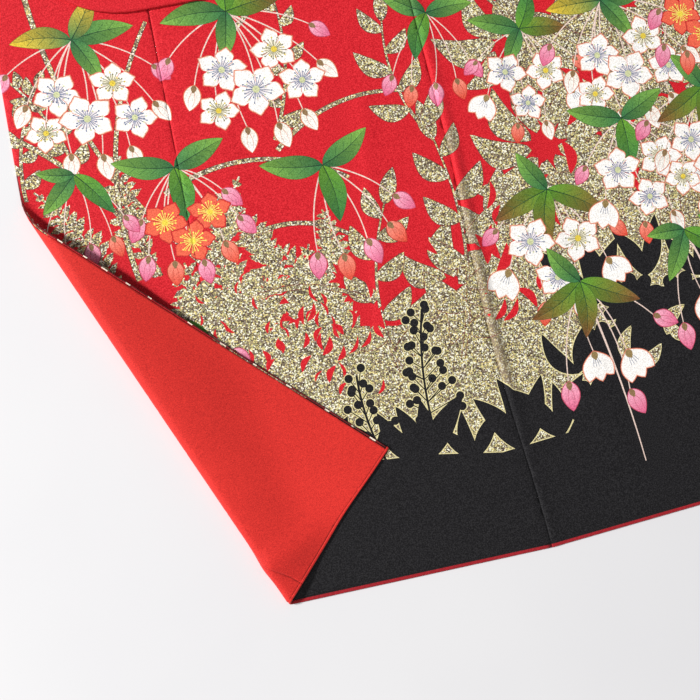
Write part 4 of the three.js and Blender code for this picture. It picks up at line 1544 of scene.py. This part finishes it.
def hem_roll(name, stations, place, hand):
    """A roll along stations: plan places on the hem with the way down the garment. On the flap
    it sits flush with the lining, is a little narrower and has the lining's colour.
    """
    corners, faces, count = [], [], len(SECTION)
    for x, y, down_x, down_y in stations:
        for share, rise in SECTION:
            out = ROLL_START + share * ROLL_WIDTH
            if hand == 1 and place is folded:
                turned_in = smooth(fold_place(x, y)[1] / 12)
                seat = rise + ON_LINING * (1 - rise / ROLL_HEIGHT)
                if share < 0.6 and rise < 0.7:
                    seat = FLAP_SEAT
                rise += (seat - rise) * turned_in
                out -= (FLAP_IN + FLAP_NARROWER * share) * turned_in
            px, py, pz = place(x + down_x * out, y + down_y * out, rise)
            corners.append(to_frame(hand * px, py, pz))
    for ring in range(len(stations) - 1):
        for i in range(count):
            a, b = ring * count + i, ring * count + (i + 1) % count
            faces.append([a, b, b + count, a + count])
    faces += [list(range(count))[::-1], list(range(len(corners) - count, len(corners)))]
    if hand == -1:
        faces = [f[::-1] for f in faces]
    mesh = bpy.data.meshes.new(name)
    mesh.from_pydata(corners, [], faces)
    mesh.shade_smooth()
    mesh.materials.append(hem_silk)
    mesh.materials.append(lining)
    on_flap = [int(place is folded and fold_place(x, y)[1] > 3) for x, y, *_ in stations]
    tints = [flag for flag in on_flap[1:] for _ in range(count)] + [on_flap[0], on_flap[-1]]
    mesh.polygons.foreach_set("material_index", tints)
    obj = bpy.data.objects.new(name, mesh)
    bpy.context.scene.collection.objects.link(obj)
    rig.replaces(obj, name)
    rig.slot(obj, "lining")
    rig.ride(obj, "root")
    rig.padded(obj, fill=0.5)


def flat_place(x, y, rise):
    return x, y, rise


def back_hem(x, y, rise):
    """The back's hem follows the tucks that end at it."""
    px, py, pz = laid_back(x, max(y, 0), rise)
    return px, y, pz


def evenly(first, last, steps):
    return [first + (last - first) * i / steps for i in range(steps + 1)]


ROLL_END, tuck_foot = 0.15, -278.85
down = (-math.sin(FAN), -math.cos(FAN))
for name, hand in (("left", 1), ("right", -1)):
    place = folded if hand == 1 else flat_place
    outs = evenly(ROLL_END, FOLD_HEM_OUT, 42)[:-1]
    outs = sorted(outs + evenly(FOLD_HEM_OUT - 5, FRONT_WIDTH - ROLL_END, 34))
    hem_roll(f"hem_roll_front_{name}", [(*on_front(o, 0), *down) for o in outs], place, hand)
    outs = evenly(FRONT_WIDTH + ROLL_END, FRONT_WIDTH + OVERLAP_WIDTH, 50)
    hem_roll(f"hem_roll_overlap_{name}", [(*on_front(o, 0), *down) for o in outs], place, hand)
    xs = evenly(ROLL_END - BACK_WIDTH, tuck_foot, 20)[:-1] + evenly(tuck_foot, -ROLL_END, 46)
    hem_roll(f"hem_roll_back_{name}", [(x, 0, 0, -1) for x in xs[::-1]], back_hem, hand)

# Sleeves: each is a length of silk folded at the top, so it lies in two layers. They are joined
# along the foot, with its rounded outer corner, and up the outer edge to the cuff, and are open
# at the cuff and at the inner edge.
SLEEVE_WIDTH, SLEEVE_LENGTH, CUFF, ROUND = 340, 1080, 230, 100
SLEEVE_TOP, SLEEVE_WALL = 2.9, 1.1
FACE_INSET, BEND_INSET = 0.9, 3.2
# Share of the height, and of the way in to the face, for each row of a rounded strip
ROUNDING = ((0.78, 0.35), (0.5, 0), (0.22, 0.35))


def double(name, ring, places, place, low, high, wall, is_joined, hand):
    """Two layers at two heights, with a rounded strip where is_joined says so of an edge."""
    around = zip(ring, ring[1:] + ring[:1])
    if sum(a[0] * b[1] - a[1] * b[0] for a, b in around) < 0:
        ring = ring[::-1]
    count = len(ring)
    inner, outline = inset(ring, FACE_INSET), list(range(count))
    corners = [Vector(p) for p in inner + inset(ring, BEND_INSET) + places]
    flat, _, triangles, _, _, owners = delaunay_2d_cdt(corners, [], [outline], 1, 1e-5, True)
    kept = [t for t, o in zip(triangles, owners) if 0 in o]
    spots, faces = [], []
    for level in (high, low):
        base = len(spots)
        spots += [to_frame(*place(hand * v.x, v.y, level)) for v in flat]
        faces += [[base + v for v in (t if level == high else t[::-1])] for t in kept]
    start = len(spots)
    thick = high - low
    for height, way_in in ROUNDING:
        for i, (x, y) in enumerate(ring):
            px, py = x + (inner[i][0] - x) * way_in, y + (inner[i][1] - y) * way_in
            spots.append(to_frame(*place(hand * px, py, low + thick * height)))
    for i in range(count):
        j = (i + 1) % count
        if is_joined(ring[i], ring[j]):
            steps = [0, start, start + count, start + 2 * count, len(flat)]
            for a, b in zip(steps, steps[1:]):
                faces.append([a + i, b + i, b + j, a + j])
    if hand == -1:
        faces = [f[::-1] for f in faces]
    used = {v: k for k, v in enumerate(sorted({v for f in faces for v in f}))}
    mesh = bpy.data.meshes.new(name)
    mesh.from_pydata([spots[v] for v in used], [], [[used[v] for v in f] for f in faces])
    mesh.shade_smooth()
    mesh.materials.append(silk)
    dye = mesh.color_attributes.new("dye", "FLOAT_COLOR", "CORNER")
    dye.data.foreach_set("color", [*RED, 0] * len(mesh.loops))
    obj = bpy.data.objects.new(name, mesh)
    bpy.context.scene.collection.objects.link(obj)
    shell(obj, wall)
    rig.replaces(obj, name)
    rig.slot(obj, "silk")
    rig.ride(obj, "root")
    return obj


def on_fronts(x, y, rise):
    """A place of a sleeve, which lies on the spread front and on the floor beside it."""
    return x, y, layers(spread_ring, x, y) + rise


sleeve_out, sleeve_in = -SHOULDER_WIDTH - SLEEVE_WIDTH, -SHOULDER_WIDTH - HALF_CAD_SEAM
sleeve_foot, cuff_foot = BODY_LENGTH - SLEEVE_LENGTH, BODY_LENGTH - CUFF


def sleeve_closed(a, b):
    """True for an edge of the sleeve that is sewn or folded."""
    at_inner_edge = max(a[0], b[0]) > -SHOULDER_WIDTH - 1
    at_cuff = max(a[0], b[0]) < sleeve_out + 0.1 and max(a[1], b[1]) > cuff_foot + 1
    return not (at_inner_edge or at_cuff)


def sleeve_step(x, y):
    return 24


turns = [i * math.pi / 28 for i in range(15)]
round_x, round_y = sleeve_out + ROUND, sleeve_foot + ROUND
sleeve_ring = [(round_x - ROUND * math.sin(t), round_y - ROUND * math.cos(t)) for t in turns]
outer_edge = [(sleeve_out, round_y), (sleeve_out, cuff_foot), (sleeve_out, BODY_LENGTH)]
sleeve_ring += stepped(outer_edge, sleeve_step)[1:]
top_to_foot = [(sleeve_out, BODY_LENGTH), (sleeve_in, BODY_LENGTH), (sleeve_in, sleeve_foot)]
sleeve_ring += stepped(top_to_foot + [(round_x, sleeve_foot)], sleeve_step)[1:-1]
sleeve_places = net(sleeve_out, sleeve_foot, -SHOULDER_WIDTH, BODY_LENGTH)
for name, hand in (("left", 1), ("right", -1)):
    obj = double(
        f"sleeve_{name}",
        sleeve_ring,
        sleeve_places,
        on_fronts,
        0,
        SLEEVE_TOP,
        SLEEVE_WALL,
        sleeve_closed,
        hand,
    )
    on_it = ["floor", f"front_{name}", f"overlap_{name}"]
    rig.sheet(obj, flat=(0.34, 2.16), held="folded", rests_on=on_it)


# Collar: a band of silk 112 mm wide folded double along its length, sewn round the neck and down
# both fronts. The over-collar is a second band, sewn over the middle of it.
COLLAR_TOP, COLLAR_WALL = 2.4, 1.0
OVER_COLLAR_WIDTH, OVER_COLLAR_TOP, OVER_COLLAR_WALL, OVER_COLLAR_SHARE = 54, 3.7, 0.9, 0.62


def on_front_layer(x, y, rise):
    return x, y, FRONT_STEP * lift(outside(spread_ring, -abs(x), y)) + rise


def on_collar(x, y):
    return on_front_layer(x, y, OVER_COLLAR_TOP)


def collar_step(x, y):
    return 20


def all_round(a, b):
    """Every edge of the collar is sewn or folded."""
    return True


def length(path):
    """Length of a path in metres."""
    return sum(math.dist(a, b) for a, b in zip(path, path[1:])) / 1000


collar_line = stepped(collar_path, collar_step)
obj = double(
    "collar",
    ribbon(collar_line, COLLAR_WIDTH),
    ribbon(collar_line, 20) + collar_line,
    on_front_layer,
    0,
    COLLAR_TOP,
    COLLAR_WALL,
    all_round,
    1,
)
on_it = ["front_left", "front_right", "back_left"]
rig.sheet(obj, flat=(0.112, length(collar_line)), held="folded", rests_on=on_it)
left_bare = round(len(collar_line) * (1 - OVER_COLLAR_SHARE) / 2)
over_line = collar_line[left_bare:-left_bare]
obj = cloth(
    "over_collar",
    ribbon(over_line, OVER_COLLAR_WIDTH),
    ribbon(over_line, 20) + over_line,
    on_collar,
    OVER_COLLAR_WALL,
    silk,
)
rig.replaces(obj, "over_collar")
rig.slot(obj, "silk")
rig.ride(obj, "root")
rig.sheet(obj, flat=(0.054, length(over_line)), held="laid", rests_on=["collar"])

sizes = {"cad": [list(v) for v in cad_box], "visual": [list(v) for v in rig.bounds()]}
with open("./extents.json", "w") as file:
    json.dump(sizes, file)
